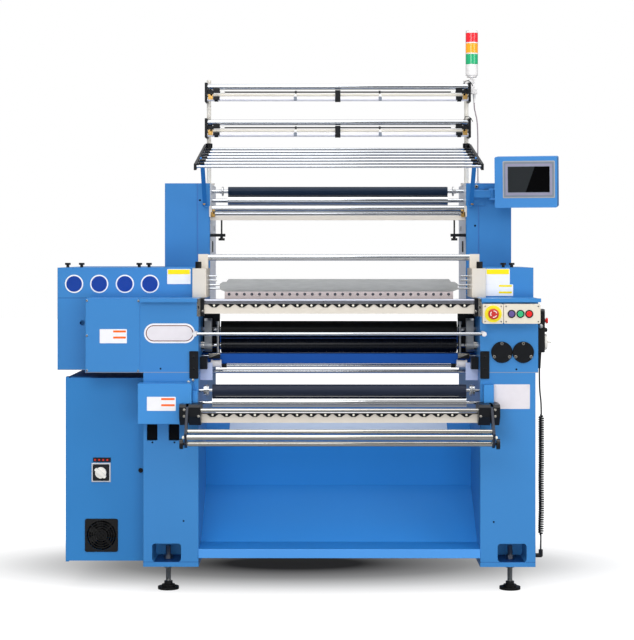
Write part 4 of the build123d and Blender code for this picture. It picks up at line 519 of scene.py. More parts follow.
nameplate_metal = plated_steel("nameplate_metal", "E6E2E2", 0.5)
nameplate = Piece()
x, z, width, height = NAMEPLATE
nameplate.plate(film_lilac, (x, 0, z), rounded(width, height, 0.003, 3), -FILM, FILM)
for side in (-1, 1):
    for rise in (-1, 1):
        corner = (x + side * (width / 2 - RIVET_INSET), -FILM, z + rise * (height / 2 - RIVET_INSET))
        nameplate.head(nameplate_metal, corner, 0.0022, 0.0012, (0, 0.0006, 0.0012), 12)
nameplate.done("nameplate")

# The black joining plates and bearing covers
# Flat steel plates and turned covers, black oxide, that tie the housings to the columns.
# A bright steel plate with a slot and a bolt closes each end of the bed.
COVER_PLACES = ((0.609, 0.902), (0.689, 0.902))
COVER_DEPTH = 0.009
COVER_SCREW_RING = 0.033
BED_END = 0.5275
BED_BOLT = (0.5120, 1.0555)


def black_oxide(name, code="0A0D12", roughness=0.38):
    """Blackened steel with a slight sheen."""
    steel = Finish(name, {"Metallic": 0.1, "Specular IOR Level": 0.35})
    cloud = steel.grain(0.02)
    steel.feed("Base Color", steel.mix(cloud, tint(code, 0.8), tint(code, 1.25)))
    steel.feed("Roughness", roughness - 0.08 + 0.16 * cloud)
    steel.bump(steel.grain(0.0015, 2.0), 0.06, 0.0004)
    return steel


def cast_paint(name, code, roughness=0.4):
    """Enamel on cast or thick parts: smoother colour, fine texture."""
    enamel = Finish(name, {"Coat Weight": 0.2, "Coat Roughness": 0.25})
    cloud = enamel.grain(0.06, 2.0)
    pores = enamel.grain(0.002, 2.0)
    enamel.feed("Base Color", enamel.mix(cloud, tint(code, 0.94), tint(code, 1.05)))
    enamel.feed("Roughness", roughness - 0.06 + 0.12 * pores)
    enamel.bump(pores, 0.08, 0.0005)
    return enamel


plate_black = black_oxide("plate_black")
end_plate_metal = plated_steel("end_plate_metal", "C6C3BC", 0.25)
dress("bolted_plates", plate_black, (end_plate_metal, (-0.529, 0.1, 0.88), (0.529, 0.16, 0.95)))
bed_ends = Piece()
for side in (-1, 1):
    x = side * BED_END
    # The slot in each end plate is a dark plate of painted shade.
    for finish, y, z, outline, front in (
            (end_plate_metal, -0.001, 1.0697, rounded(0.013, 0.0675, 0.001, 2), 0.001),
            (painted_hole_shade, -0.002, 1.0700, rounded(0.005, 0.009, 0.002, 3), 0.0003)):
        bed_ends.plate(finish, (x, y, z), outline, -0.001, front)
    bolt_place = (side * BED_BOLT[0], -0.002, BED_BOLT[1])
    bed_ends.head(end_plate_metal, bolt_place, 0.0042, 0.003, (-0.002, 0.002, 0.003), 16)
bed_ends.done("bed_ends")
cover_screws = Piece()
for x, z in COVER_PLACES:
    for angle in (90, 210, 330):
        turn = math.radians(angle)
        place = (x + COVER_SCREW_RING * math.cos(turn), -COVER_DEPTH, z + COVER_SCREW_RING * math.sin(turn))
        screw(cover_screws, place, 0.0058, 0.003)
for side in (-1, 1):
    for z in (0.884, 0.838):
        screw(cover_screws, (side * 0.545, -0.006, z), 0.0055, 0.0015, plate_black)
cover_screws.done("cover_screws")

# The switch cabinet
# Sheet-steel cabinet with a pan-shaped door that carries the main switch, lamps and the fan.
CABINET_BLUE = "2F7ABA"
CABINET_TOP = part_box("cabinet_shell")[1].z
STRIP_LAMPS = 4
STRIP_START = -0.9285
STRIP_PITCH = 0.0155


def painted_roof_shade(paint):
    """Painted shade: the cabinet's roof is painted near-black where the narrow gap under the drive housing
    shades it.
    """
    return (paint.high > CABINET_TOP - 0.0005) * (paint.deep > 0.12)


dress("cabinet_shell", powder_coat("cabinet_paint", CABINET_BLUE, seams_and_painted_light=[(painted_roof_shade, "07080A")]))
dress("cabinet_door", powder_coat("door_paint", CABINET_BLUE))
drive_grey = moulded_plastic("drive_grey", "B9BCC0", 0.45)
contactor_black = moulded_plastic("contactor_black", "101218", 0.4)
dress("cabinet_plate", plated_steel("mounting_zinc", "B9BCBE", 0.4),
      (drive_grey, (-1.03, 0.42, 0.46), (-0.80, 0.559, 0.71)),
      (contactor_black, (-1.04, 0.44, 0.34), (-0.74, 0.551, 0.44)))
lamp_red = moulded_plastic("lamp_red", "C8281E", 0.25)
dress("door_fittings", moulded_plastic("frame_pale", "C9CBD0", 0.4),
      (contactor_black, (-0.95, 0.0929, 0.475), (-0.85, 0.101, 0.50)),
      (plate_black, (-0.78, 0.09, 0.39), (-0.74, 0.101, 0.47)))
strip_marks = Piece()
for step in range(STRIP_LAMPS):
    place = (STRIP_START + STRIP_PITCH * step, 0.0930, 0.4865)
    strip_marks.plate(lamp_red, place, rounded(0.007, 0.007, 0.0015, 2), -0.0008, 0.0006)
strip_marks.done("strip_marks", "cabinet_door")
dress("fan_guard", moulded_plastic("guard_black", "050506", 0.5))
dress("fan_rotor", moulded_plastic("rotor_black", "08090A", 0.4))
knob_white = moulded_plastic("knob_white", "E4E2DC", 0.35)
dress("switch_knob", knob_white)
switch_plate = Piece()
switch_plate.plate(contactor_black, (-0.906, 0.093, 0.4385), rounded(0.0635, 0.0635, 0.004), 0, 0.0002)
switch_plate.done("switch_plate", "cabinet_door")

# The control boxes
# Two cast boxes with the stop button in its yellow collar and three push buttons in black rings.
BOX_FACE = -0.05
collar_yellow = moulded_plastic("collar_yellow", "EADB22", 0.4)
ring_black = moulded_plastic("ring_black", "08090B", 0.35)
button_red = moulded_plastic("button_red", "D81E1C", 0.28)
dress("control_boxes", cast_paint("box_beige", "D9D2C2", 0.42),
      (collar_yellow, (0.53, -0.0535, 1.0), (0.611, -0.0503, 1.1)),
      (ring_black, (0.62, -0.0535, 1.0), (0.73, -0.0502, 1.1)))
dress("estop_button", moulded_plastic("mushroom_red", "B92A26", 0.3))
dress("start_button", moulded_plastic("button_dark", "5D4D8A", 0.3))
dress("jog_button", moulded_plastic("button_green", "2FAE72", 0.3))
dress("stop_button", button_red)
BUTTON_PLACE = (0.572, (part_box("estop_button")[0] - ORIGIN).y, 1.0475)
ARC_RADIUS = 0.0115
ARC_HALF_WIDTH = 0.0016
ARC_ANGLES = range(0, 81, 10)
button_marks = Piece()
for start in (15, 135, 255):
    outline = []
    for radius, angles in ((ARC_RADIUS + ARC_HALF_WIDTH, ARC_ANGLES),
                           (ARC_RADIUS - ARC_HALF_WIDTH, reversed(ARC_ANGLES))):
        for angle in angles:
            turn = math.radians(start + angle)
            outline.append((radius * math.cos(turn), radius * math.sin(turn)))
    button_marks.plate(knob_white, BUTTON_PLACE, outline, -0.004, 0.0003, 0.0)
button_marks.done("stop_button_marks", "estop_button")
BOX_SIDES = ((0.534, 0.610), (0.612, 0.748))
SCREW_INSET = 0.008
box_screws = Piece()
for left, right in BOX_SIDES:
    for x in (left + SCREW_INSET, right - SCREW_INSET):
        for z in (1.019, 1.076):
            screw(box_screws, (x, BOX_FACE, z), 0.0032, 0.0012)
box_screws.done("box_screws")

# The upper columns and the terminal's arm
# Sheet-steel columns behind the housings, with the arm bolted to the right one.
UPPER_FRONT = 0.645
UPPER_INSIDE = 0.5285
UPPER_SEAM = 0.578


def upper_seams(paint):
    """A welded joint runs up the front of each column."""
    joint = abs(paint.across).between(UPPER_SEAM - 0.001, UPPER_SEAM + 0.001)
    return joint * (paint.deep < UPPER_FRONT + 0.001) * 0.55


upper_paint = powder_coat("upper_column_paint", MACHINE_BLUE, seams_and_painted_light=[(upper_seams, "4A4D9A")])
# Painted highlight: the inner faces of the upper columns are painted near-white, standing in for the light
# they reflect.
inside_painted_highlight = powder_coat("inside_painted_highlight", "F0F4FF", 0.45, coat=0.0)
dress("upper_columns", upper_paint, (inside_painted_highlight, (-UPPER_INSIDE, 0.66, 0.82), (UPPER_INSIDE, 1.03, 1.56)))
dress("screen_arm", powder_coat("arm_paint", MACHINE_BLUE))
arm_bolts = Piece()
for x, y, z in ((0.5695, 0.635, 1.547), (0.5700, 0.645, 1.482)):
    screw(arm_bolts, (x, y, z), 0.008, 0.006)
arm_bolts.done("arm_bolts")

# The operator terminal
# A sheet housing with a grey bezel frame and a dark glass screen, leaning back a little.
SCREEN_TURN = math.radians(-12)
SCREEN_LEAN = math.radians(5)
SCREEN_PIVOT = (0.632, 0.614)
SCREEN_CENTRE = (0.145, -0.034, 1.564)
SCREEN_DEPTH = 0.086
BEZEL_SHIFT = (0.0121, 0.0113)
dress("screen_housing", powder_coat("terminal_paint", "4288CB"))
glass_black = Finish("glass_black", {"Coat Weight": 0.15, "Coat Roughness": 0.1, "Specular IOR Level": 0.2})
# Painted reflection: one side of a slanting line across the glass is painted lighter grey, standing in for
# the room's sheen on the screen.
painted_glass_reflection = (glass_black.across - 0.337 * glass_black.high) < 0.2452
glass_black.feed("Base Color", glass_black.mix(painted_glass_reflection, tint("030304"), tint("2A2D2F")))
glass_black.feed("Roughness", 0.06 + 0.04 * glass_black.grain(0.05))
bezel_grey = moulded_plastic("bezel_grey", "7C8490", 0.4)
bezel_edge = moulded_plastic("bezel_edge", "A9A8A4", 0.4)
bezel_mauve = moulded_plastic("bezel_mauve", "918FA6", 0.4)
terminal = Piece()
pivot_turn = Matrix.Rotation(SCREEN_TURN, 3, "Z")
screen_turn = pivot_turn @ Matrix.Rotation(SCREEN_LEAN, 3, "X")
right, up, out = (screen_turn @ axis for axis in Piece.FACING["front"])
terminal.FACING = {"screen": (right, up, out)}
front_middle = Vector((*SCREEN_PIVOT, 0)) + pivot_turn @ Vector(SCREEN_CENTRE) + out * SCREEN_DEPTH / 2
front_middle += right * BEZEL_SHIFT[0] + up * BEZEL_SHIFT[1]
for outline, finish, front in (
        (rounded(0.210, 0.150, 0.004), bezel_edge, 0.0005),
        (rounded(0.203, 0.143, 0.004), bezel_grey, 0.0008),
        (rounded(0.188, 0.126, 0.003), bezel_mauve, 0.0011),
        (rounded(0.172, 0.108, 0.002), bezel_grey, 0.0014),
        (rounded(0.168, 0.104, 0.002), glass_black, 0.0017)):
    terminal.plate(finish, front_middle, outline, -0.001, front, facing="screen")
terminal.done("terminal_front", "screen")

# Creel poles, brackets, rods and rollers
# Coated tubes on flanges. Black bracket plates clamp to them and hold rods and chrome rollers.
dress("creel_poles", cast_paint("pole_cream", "E9E5DC", 0.35))
dress("creel_brackets", plate_black)


def ground_chrome(name, code="C9CDD2", roughness=0.1):
    """Hard chrome ground along its length: fine rings show in the sheen."""
    chrome = Finish(name, {"Metallic": 1.0})
    rings = chrome.grain(0.0016, 2.0, (1, 0.02, 0.02))
    cloud = chrome.grain(0.2, 1.0)
    chrome.feed("Base Color", chrome.mix(cloud, tint(code, 0.9), tint(code, 1.08)))
    chrome.feed("Roughness", roughness - 0.04 + 0.06 * rings)
    chrome.bump(rings, 0.012, 0.0002)
    return chrome


chrome = ground_chrome("chrome")
rod_pale = cast_paint("rod_pale", "E6E6EE", 0.3)
rod_cream = cast_paint("rod_cream", "D9D4C8", 0.3)
rod_black = black_oxide("rod_black", "08090C", 0.3)
dress("creel_rods", rod_pale,
      (rod_black, (-1, 0, 1.943), (1, 1, 1.952)), (rod_black, (-1, 0, 1.794), (1, 1, 1.803)),
      (rod_cream, (-1, 0, 1.9301), (1, 1, 1.9417)), (rod_cream, (-1, 0, 1.7811), (1, 1, 1.7929)))
dress("upper_creel_roller", chrome)
dress("lower_creel_roller", chrome)

# Clamps on the creel rods
# Black blocks and brass nuts at the bracket plates, white sleeves on the thin rod, and small clips.
CREEL_LINE = 0.757
THIN_RODS = (1.947, 1.798)
CLIP_PLACE = 0.1775
sleeve_white = moulded_plastic("sleeve_white", "F1F0EE", 0.4)
brass = plated_steel("brass", "E0B368", 0.32)
rod_clamps = Piece()
for thin in THIN_RODS:
    for side in (-1, 1):
        for finish, x, drop, outline, back, front in (
                (plate_black, 0.5075, -0.0075, rounded(0.027, 0.0195, 0.001, 2), -0.009, 0.011),
                (plate_black, 0.5075, 0.025, rounded(0.027, 0.0145, 0.001, 2), -0.0095, 0.0115),
                (brass, 0.5325, 0.0195, rounded(0.019, 0.022, 0.002, 2), -0.0095, 0.0125),
                (bezel_grey, CLIP_PLACE, 0.0275, rounded(0.013, 0.016, 0.001, 2), -0.0095, 0.0115)):
            rod_clamps.plate(finish, (side * x, CREEL_LINE, thin - drop), outline, back, front)
        # A dark disc of painted shade stands for the hole in each bracket plate.
        hole_place = (side * 0.5290, CREEL_LINE - 0.0125, thin - 0.0110)
        rod_clamps.drum(painted_hole_shade, hole_place, 0.0042, -0.001, 0.0012, 14)
        sleeve_place = (side * 0.4825, CREEL_LINE, thin)
        rod_clamps.drum(sleeve_white, sleeve_place, 0.0056, -0.009, 0.009, facing="right")
        pin_place = (side * CLIP_PLACE, CREEL_LINE - 0.0045, thin - 0.0135)
        rod_clamps.head(sleeve_white, pin_place, 0.0058, 0.0040, (-0.001, 0.004, 0.006))
rod_clamps.done("rod_clamps")
wire_ties = Piece()
for offset in (0.0, THIN_RODS[1] - THIN_RODS[0]):
    wire_ties.wire(plate_black, [(0.5265, 0.7440, 1.9790 + offset), (0.5330, 0.7405, 1.9925 + offset),
                                 (0.5440, 0.7395, 1.9945 + offset), (0.5560, 0.7400, 1.9860 + offset),
                                 (0.5640, 0.7420, 1.9720 + offset)], 0.0016)
wire_ties.done("wire_ties")

# The yarn rack
# Seven bright rods between black sloping arms, which blue flat struts hold up from the columns.
strut_paint = powder_coat("strut_paint", "2870B5")
dress("rack_arms", plate_black, (strut_paint, (-0.5549, 0, 1.4), (0.5549, 0.7, 1.70)))
dress("rack_rods", chrome)
RACK_BACK = Vector((0.780, 1.7110))
RACK_FRONT = Vector((0.266, 1.6115))
RACK_ROD_COUNT = 7
# Painted shadow: short black sleeves on the rods beside the arms stand in for the shade the arms cast on the
# rods.
arm_shadow_sleeves = Piece()
for step in range(RACK_ROD_COUNT - 1):
    y, z = RACK_BACK.lerp(RACK_FRONT, step / (RACK_ROD_COUNT - 1))
    for side in (-1, 1):
        arm_shadow_sleeves.drum(rod_black, (side * 0.5420, y, z), 0.0056, -0.0120, 0.0120, facing="right")
arm_shadow_sleeves.done("rack_rod_shadow_sleeves")

# Flanges on the rack's struts
# Flat steel strips in front of the struts, welded on edge, which make them look wide from the front.
STRUT_LOW = (0.622, 1.4760)
STRUT_HIGH = (0.458, 1.6487)
STRIP_CORNERS = ((0.537, 0.0112), (0.5545, 0.0112), (0.5545, 0.0132), (0.537, 0.0132))
strut_strips = Piece()
rise = Vector((0, STRUT_HIGH[0] - STRUT_LOW[0], STRUT_HIGH[1] - STRUT_LOW[1])).normalized()
forward = Vector((0, -rise.z, rise.y))
for side in (-1, 1):
    rings = [[spot(side * x, y, z) + forward * lift for x, lift in STRIP_CORNERS]
             for y, z in (STRUT_LOW, STRUT_HIGH)]
    strut_strips.skin(strut_paint, rings)
    bolt_place = (side * 0.549, STRUT_LOW[0] - 0.016, STRUT_LOW[1])
    strut_strips.head(brass, bolt_place, 0.0055, 0.004, (-0.004, 0.003, 0.004))
strut_strips.done("strut_strips")

# The signal tower
# Moulded base and cap in white, and three coloured lenses stacked round a rod.
TOWER_MIDDLE = (0.568, 0.842)
BAND_RADIUS = 0.0264
tower_white = moulded_plastic("tower_white", "EDEBEA", 0.35)
dress("tower_bracket", tower_white)
dress("tower_base", tower_white)


def lens_with_painted_glow(name, code):
    """Tinted clear plastic with moulded flutes, with a faint painted glow in its own colour, though the
    lamps are off.
    """
    lens = Finish(name, {"Coat Weight": 0.6, "Coat Roughness": 0.08, "Specular IOR Level": 0.5,
                         "Emission Strength": 0.35})
    flutes = lens.grain(0.004, 1.0, (1, 1, 0.02))
    colour = lens.mix(flutes, tint(code, 0.9), tint(code, 1.15))
    lens.feed("Base Color", colour)
    lens.feed("Emission Color", colour)
    lens.feed("Roughness", 0.14 + 0.08 * flutes)
    return lens


dress("tower_lenses", lens_with_painted_glow("lens_green", "1F9E6A"),
      (lens_with_painted_glow("lens_orange", "F29A1E"), (0.5, 0.8, 2.1151), (0.62, 0.9, 2.1610)),
      (lens_with_painted_glow("lens_red", "D9202C"), (0.5, 0.8, 2.1611), (0.62, 0.9, 2.21)))

lens_bands = Piece()
for low, high in ((2.1151, 2.1201), (2.1608, 2.1655), (2.2045, 2.2085)):
    lens_bands.drum(tower_white, (*TOWER_MIDDLE, 0), BAND_RADIUS, low, high, 40, "top")
lens_bands.done("lens_bands", "tower_light")

# Rollers and rods
# Ground chrome rollers and rods, and rubber-covered rollers with steel journals.


def roller_rubber(name, code, roughness=0.42):
    """Ground rubber covering, matt with a soft sheen."""
    rubber = Finish(name, {"Specular IOR Level": 0.25})
    rings = rubber.grain(0.002, 2.0, (1, 0.05, 0.05))
    cloud = rubber.grain(0.15, 2.0)
    rubber.feed("Base Color", rubber.mix(cloud, tint(code, 0.85), tint(code, 1.2)))
    rubber.feed("Roughness", roughness - 0.05 + 0.12 * rings)
    rubber.bump(rings, 0.05, 0.0003)
    return rubber


def dress_roller(node, half, skin):
    """Covering between the ends, and steel journals outside them."""
    dress(node, skin, *both_sides(chrome, (half, 0, 0.5), (1, 1, 1.7)))


dress_roller("rubber_feed_roller", 0.4581, roller_rubber("teal_rubber", "061D33", 0.34))
dress("chrome_feed_roller", chrome)
dress("chrome_guide_roller", chrome)
rail_pale = plated_steel("rail_pale", "A9ACB8", 0.3)
pulley_white = moulded_plastic("pulley_white", "D5D3D6", 0.35)
link_silver = plated_steel("link_silver", "C9CACB", 0.3)
dress("guide_rods", chrome, (rail_pale, (-0.509, 0.0, 1.07), (0.509, 0.27, 1.13)),
      *both_sides(pulley_white, (0.4495, 0.12, 0.833), (0.4905, 0.16, 0.868)),
      *both_sides(link_silver, (0.455, 0.14, 0.88), (0.475, 0.17, 1.02)),
      *both_sides(pulley_white, (0.53, -0.07, 0.955), (0.65, 0.001, 0.99)))
dress_roller("upper_drive_roller", 0.4551, roller_rubber("drive_black", "020203", 0.3))
# Painted sheen: the lower drive roller's black rubber is tinted navy, standing in for the blue sheen it
# shows.
dress_roller("lower_drive_roller", 0.4551, roller_rubber("drive_painted_navy_sheen", "03060F", 0.25))
dress_roller("takedown_roller", 0.4771, roller_rubber("takedown_rubber", "1C2334", 0.4))
ROLLER_COLLARS = (("takedown_roller", 0.026, 0.757, 0.4975, 0.0222),
                  ("rubber_feed_roller", 0.745, 1.532, 0.4810, 0.0198))
for node, y, z, reach, radius in ROLLER_COLLARS:
    collars = Piece()
    for side, facing in ((-1, "left"), (1, "right")):
        profile = ((-0.004, 0.012), (-0.003, radius - 0.001), (-0.002, radius), (0.002, radius),
                   (0.003, radius - 0.001), (0.0035, 0.010), (0.012, 0.009))
        collars.turn(link_silver, (side * reach, y, z), profile, 32, facing)
    collars.done(node + "_collars", node)
dress("press_roller", ground_chrome("press_steel", "D6D8DA", 0.08))
# Painted shade: a thin black strip behind the drive rollers fills the gap there with dark, where only shade
# shows.
drive_shade_strip = Piece()
drive_shade_strip.plate(plate_black, (0, 0.232, 0.8916), rounded(0.910, 0.007, 0.001, 2), -0.001, 0.001)
drive_shade_strip.done("drive_shade_strip")

# Nuts and brackets at the guide rod
# A brass nut block at each end of the rod, on a pale cranked bracket screwed to the column.
cream_enamel = cast_paint("cream_enamel", "D3CCC1", 0.38)
rod_ends = Piece()
for side in (-1, 1):
    rod_ends.plate(brass, (side * 0.5165, 0.655, 1.4335), rounded(0.017, 0.021, 0.002, 2), -0.012, 0.014)
    # The hole in each nut block is a dark disc of painted shade.
    rod_ends.drum(painted_hole_shade, (side * 0.5115, 0.641, 1.4400), 0.0038, -0.001, 0.001, 14)
    rod_ends.plate(cream_enamel, (side * 0.5255, 0.644, 1.4460), rounded(0.011, 0.046, 0.004, 4), 0, 0.003)
rod_ends.done("guide_rod_ends")

# Holes in the upper columns
# Cut through the inner walls for shafts and cables, and two small ones in the fronts, all drawn as
# near-black discs and plates of painted shade.
INNER_WALL = 0.5280
inner_holes = Piece()
for side, facing in ((-1, "right"), (1, "left")):
    inner_holes.drum(painted_hole_shade, (side * INNER_WALL, 0.915, 1.3790), 0.012, -0.001, 0.0004, 24, facing)
    inner_holes.plate(painted_hole_shade, (side * INNER_WALL, 0.820, 1.3015), rounded(0.080, 0.047, 0.010),
                      -0.001, 0.0004, facing=facing)
for x, z in ((-0.569, 1.492), (0.565, 1.387)):
    inner_holes.drum(painted_hole_shade, (x, UPPER_FRONT, z), 0.0043, -0.001, 0.0003, 16)
inner_holes.done("upper_holes")

# The knitting head
# A ground bed with black comb plates, the needle strip, and the weft bar between guide boxes.
bar_grey = Finish("bar_grey", {"Metallic": 0.6})
bar_marks = bar_grey.grain(0.006, 2.0, (0.15, 1, 1))
bar_grey.feed("Base Color", bar_grey.mix(bar_marks, tint("A7AAAC"), tint("BDC0C1")))
bar_grey.feed("Roughness", 0.36 + 0.1 * bar_marks)
bar_grey.bump(bar_marks, 0.05, 0.0003)
dress("bar_panels", cream_enamel)
dress("end_boxes", cream_enamel, (chrome, (-0.5075, 0.2, 1.1), (0.5075, 0.3, 1.2)))
dress("weft_bar", bar_grey, *both_sides(chrome, (0.4632, 0, 1.1), (1, 1, 1.2)),
      (rod_pale, (-0.45, 0, 1.1622), (0.45, 1, 1.2)))
dress("needle_strip", cast_paint("strip_lilac", "B4ABAE", 0.4))
dress("combs", black_oxide("comb_black", "07080A", 0.45))
dress("rocker_arms", plated_steel("cast_aluminium", "A3A6A8", 0.45))

# Needle screws
# Dark slotted screws that hold the needles in the strip, one in each hole.
NEEDLE_PITCH = 0.0292
NEEDLE_COUNT = 30
NEEDLE_FACE = 0.190
NEEDLE_LEVEL = 1.1150
bolt_pale = plated_steel("bolt_pale", "9EA2AA", 0.3)
needle_dark = black_oxide("needle_dark", "2E3340", 0.4)
needle_screws = Piece()
for step in range(NEEDLE_COUNT):
    place = (NEEDLE_PITCH * (step - (NEEDLE_COUNT - 1) / 2), NEEDLE_FACE, NEEDLE_LEVEL)
    needle_screws.head(needle_dark, place, 0.0054, 0.0044, (-0.002, 0.0008, 0.0016))
    needle_screws.plate(bolt_pale, place, rounded(0.0014, 0.0070, 0.0004, 1), 0.001, 0.0020, 0.0)
needle_screws.done("needle_screws", "needle_strip")

# Comb bolts
# White-capped bolts along the bed's comb and along the take-down's, one at each tooth.
TOOTH_PITCH = 0.0523
TOOTH_COUNT = 19
bolt_white = moulded_plastic("bolt_white", "E8E4D6", 0.3)
comb_bolts = Piece()
for step in range(TOOTH_COUNT):
    x = TOOTH_PITCH * (step - (TOOTH_COUNT - 1) / 2)
    for y, z in ((0.017, 1.0765), (-0.073, 0.6735)):
        comb_bolts.head(bolt_white, (x, y, z), 0.0042, 0.003, (-0.001, 0.0015, 0.0028))
comb_bolts.done("comb_bolts")

# The take-down brackets and the fabric arms
# Black steel brackets on the column fronts, with flat swing arms, clamp knobs and bright rods.
dress("end_brackets", plate_black)
dress("fabric_arms", black_oxide("arm_slate", "151C2B", 0.35),
      *both_sides(knob_black, (0.5655, -1, 0.5), (1, 0, 0.7)))
dress("fabric_rods", ground_chrome("rod_steel", "BFBDB6", 0.12))

# Screws and caps at the take-down
# Zinc-plated bolts in the brackets, white end caps on the middle fabric rod, and two panel bolts.
BRACKET_FACE = -0.132
bracket_bolts = Piece()
for side in (-1, 1):
    for x, z in ((0.5712, 0.6737), (0.5185, 0.6737), (0.5712, 0.6976)):
        place = (side * x, BRACKET_FACE, z)
        bracket_bolts.head(bright_screw, place, 0.0048, 0.0032, (0, 0.003, 0.004))
for x, z in ((-0.5485, 0.7975), (-0.5650, 0.7905)):
    bracket_bolts.head(bright_screw, (x, -0.001, z), 0.0052, 0.0035, (0, 0.005, 0.006))
bracket_bolts.done("bracket_bolts")
rod_caps = Piece()
for side, facing in ((-1, "left"), (1, "right")):
    place = (side * 0.565, -0.200, 0.603)
    rod_caps.head(bolt_white, place, 0.0060, 0.004, (-0.001, 0.006, 0.0085), facing=facing)
rod_caps.done("fabric_rod_caps", "fabric_frame")

# The hand pendant
# A black handset hooked to the right side, with a dial, a red stop button, a bright ball knob
# and a short lever.
pendant_black = moulded_plastic("pendant_black", "090A0C", 0.4)
dress("pendant_body", pendant_black)
dress("pendant_dial", knob_white)
dress("pendant_stop", button_red)
BALL_RADIUS = 0.009
pendant_knob = Piece()
turns = [math.radians(angle) for angle in range(-60, 90, 10)]
ball = [(BALL_RADIUS * math.sin(turn), BALL_RADIUS * math.cos(turn)) for turn in turns]
pendant_knob.turn(link_silver, (0.7577, 0.0190, 0.9990), ball, 24)
pendant_knob.head(pendant_black, (0.774, 0.050, 0.984), 0.007, 0.005, (-0.002, 0.010, 0.012), 20, "right")
pendant_knob.done("pendant_knob")
dress("cable_glands", contactor_black, (tower_white, (0.5, 0.8, 1.5), (0.7, 0.9, 1.96)))

# The hand cable and the tower's cable
# Rubber-jacketed leads. The hand cable has a curly stretch that hangs at the right column.
CABLE_RADIUS = 0.003
CURL_RADIUS = 0.0115
CURL_TURNS = 54
CURL_SIDES = 12
TOWER_CABLE_RADIUS = 0.0025
HAND_CABLE = (
    (0.758, 0.065, 0.838),
    (0.758, 0.065, 0.797),
    (0.7595, 0.0655, 0.750),
    (0.765, 0.065, 0.706),
    (0.765, 0.065, 0.665),
)
HAND_CURL = (
    (0.765, 0.065, 0.665),
    (0.765, 0.065, 0.590),
    (0.7655, 0.0645, 0.500),
    (0.764, 0.0655, 0.405),
    (0.766, 0.065, 0.315),
    (0.7635, 0.0652, 0.250),
    (0.7635, 0.0652, 0.205),
)
HAND_TAIL = (
    (0.7635, 0.0652, 0.205),
    (0.7635, 0.0652, 0.188),
    (0.763, 0.065, 0.170),
    (0.763, 0.065, 0.152),
)
TOWER_CABLE = (
    (0.578, 0.842, 1.9096),
    (0.578, 0.842, 1.893),
    (0.583, 0.842, 1.868),
    (0.590, 0.842, 1.840),
    (0.593, 0.842, 1.795),
    (0.594, 0.842, 1.740),
    (0.593, 0.8425, 1.680),
    (0.594, 0.842, 1.620),
    (0.594, 0.842, 1.577),
)


def smooth_lead(name, points, radius, finish, steps=12, bevel_steps=4):
    """A lead as one smooth spline whose control points are its route."""
    line = bpy.data.curves.new(name, "CURVE")
    line.dimensions = "3D"
    line.bevel_depth = radius
    line.bevel_resolution = bevel_steps
    line.use_fill_caps = True
    line.resolution_u = steps
    spline = line.splines.new("NURBS")
    spline.points.add(len(points) - 1)
    for point, place in zip(spline.points, points):
        point.co = (*spot(*place), 1)
    spline.order_u = 3
    spline.use_endpoint_u = True
    if finish:
        line.materials.append(finish.material)
    return add_object(name, line)


def spline_points(points):
    """Points along the smooth spline of a route."""
    guide = smooth_lead("route", points, 0, None)
    bpy.context.view_layer.update()
    mesh = bpy.data.meshes.new_from_object(guide)
    places = [vertex.co.copy() for vertex in mesh.vertices]
    bpy.data.objects.remove(guide)
    return places


jacket_black = moulded_plastic("jacket_black", "08090B", 0.45)
jacket_mauve = moulded_plastic("jacket_mauve", "9C8E96", 0.45)


def lay_lead(name, points, radius, finish, slot, **steps):
    """A lead of the machine, which rides on its frame."""
    lead = smooth_lead(name, points, radius, finish, **steps)
    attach(lead, "root")
    return lead


hand_cable = lay_lead("hand_cable", HAND_CABLE, CABLE_RADIUS, jacket_black, "cable_jacket")
hand_tail = lay_lead("hand_cable_tail", HAND_TAIL, CABLE_RADIUS, jacket_black, "cable_jacket")
tower_cable = lay_lead("tower_lead", TOWER_CABLE, TOWER_CABLE_RADIUS, jacket_mauve, "grey_cable")
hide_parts("pendant_cable")
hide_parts("tower_cable")


def curly_points(centre, turns, radius):
    """Helix round a centre line, close to it at both ends where the lead runs in and out."""
    lengths = [0.0]
    for before, after in zip(centre, centre[1:]):
        lengths.append(lengths[-1] + (after - before).length)
    total = lengths[-1]
    count = turns * CURL_SIDES
    points = []
    for step in range(count + 1):
        share = step / count
        reach = share * total
        index = max(i for i in range(len(lengths) - 1) if lengths[i] <= reach + 1e-9)
        inside = (reach - lengths[index]) / (lengths[index + 1] - lengths[index])
        middle = centre[index].lerp(centre[index + 1], inside)
        ease = min(1.0, share * turns / 1.5, (1 - share) * turns / 1.5)
        angle = 2 * math.pi * turns * share
        points.append(middle + Vector((math.cos(angle), math.sin(angle), 0)) * radius * ease)
    return [tuple(point - ORIGIN) for point in points]


curl_route = curly_points(spline_points(HAND_CURL), CURL_TURNS, CURL_RADIUS - CABLE_RADIUS)
hand_curl = lay_lead("hand_cable_curl", curl_route, CABLE_RADIUS, jacket_black, "cable_jacket",
                     steps=2, bevel_steps=2)
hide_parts("pendant_curl")


def route_length(points):
    """Length of the smooth spline of a route."""
    places = spline_points(points)
    return sum((after - before).length for before, after in zip(places, places[1:]))


route_length(curl_route)

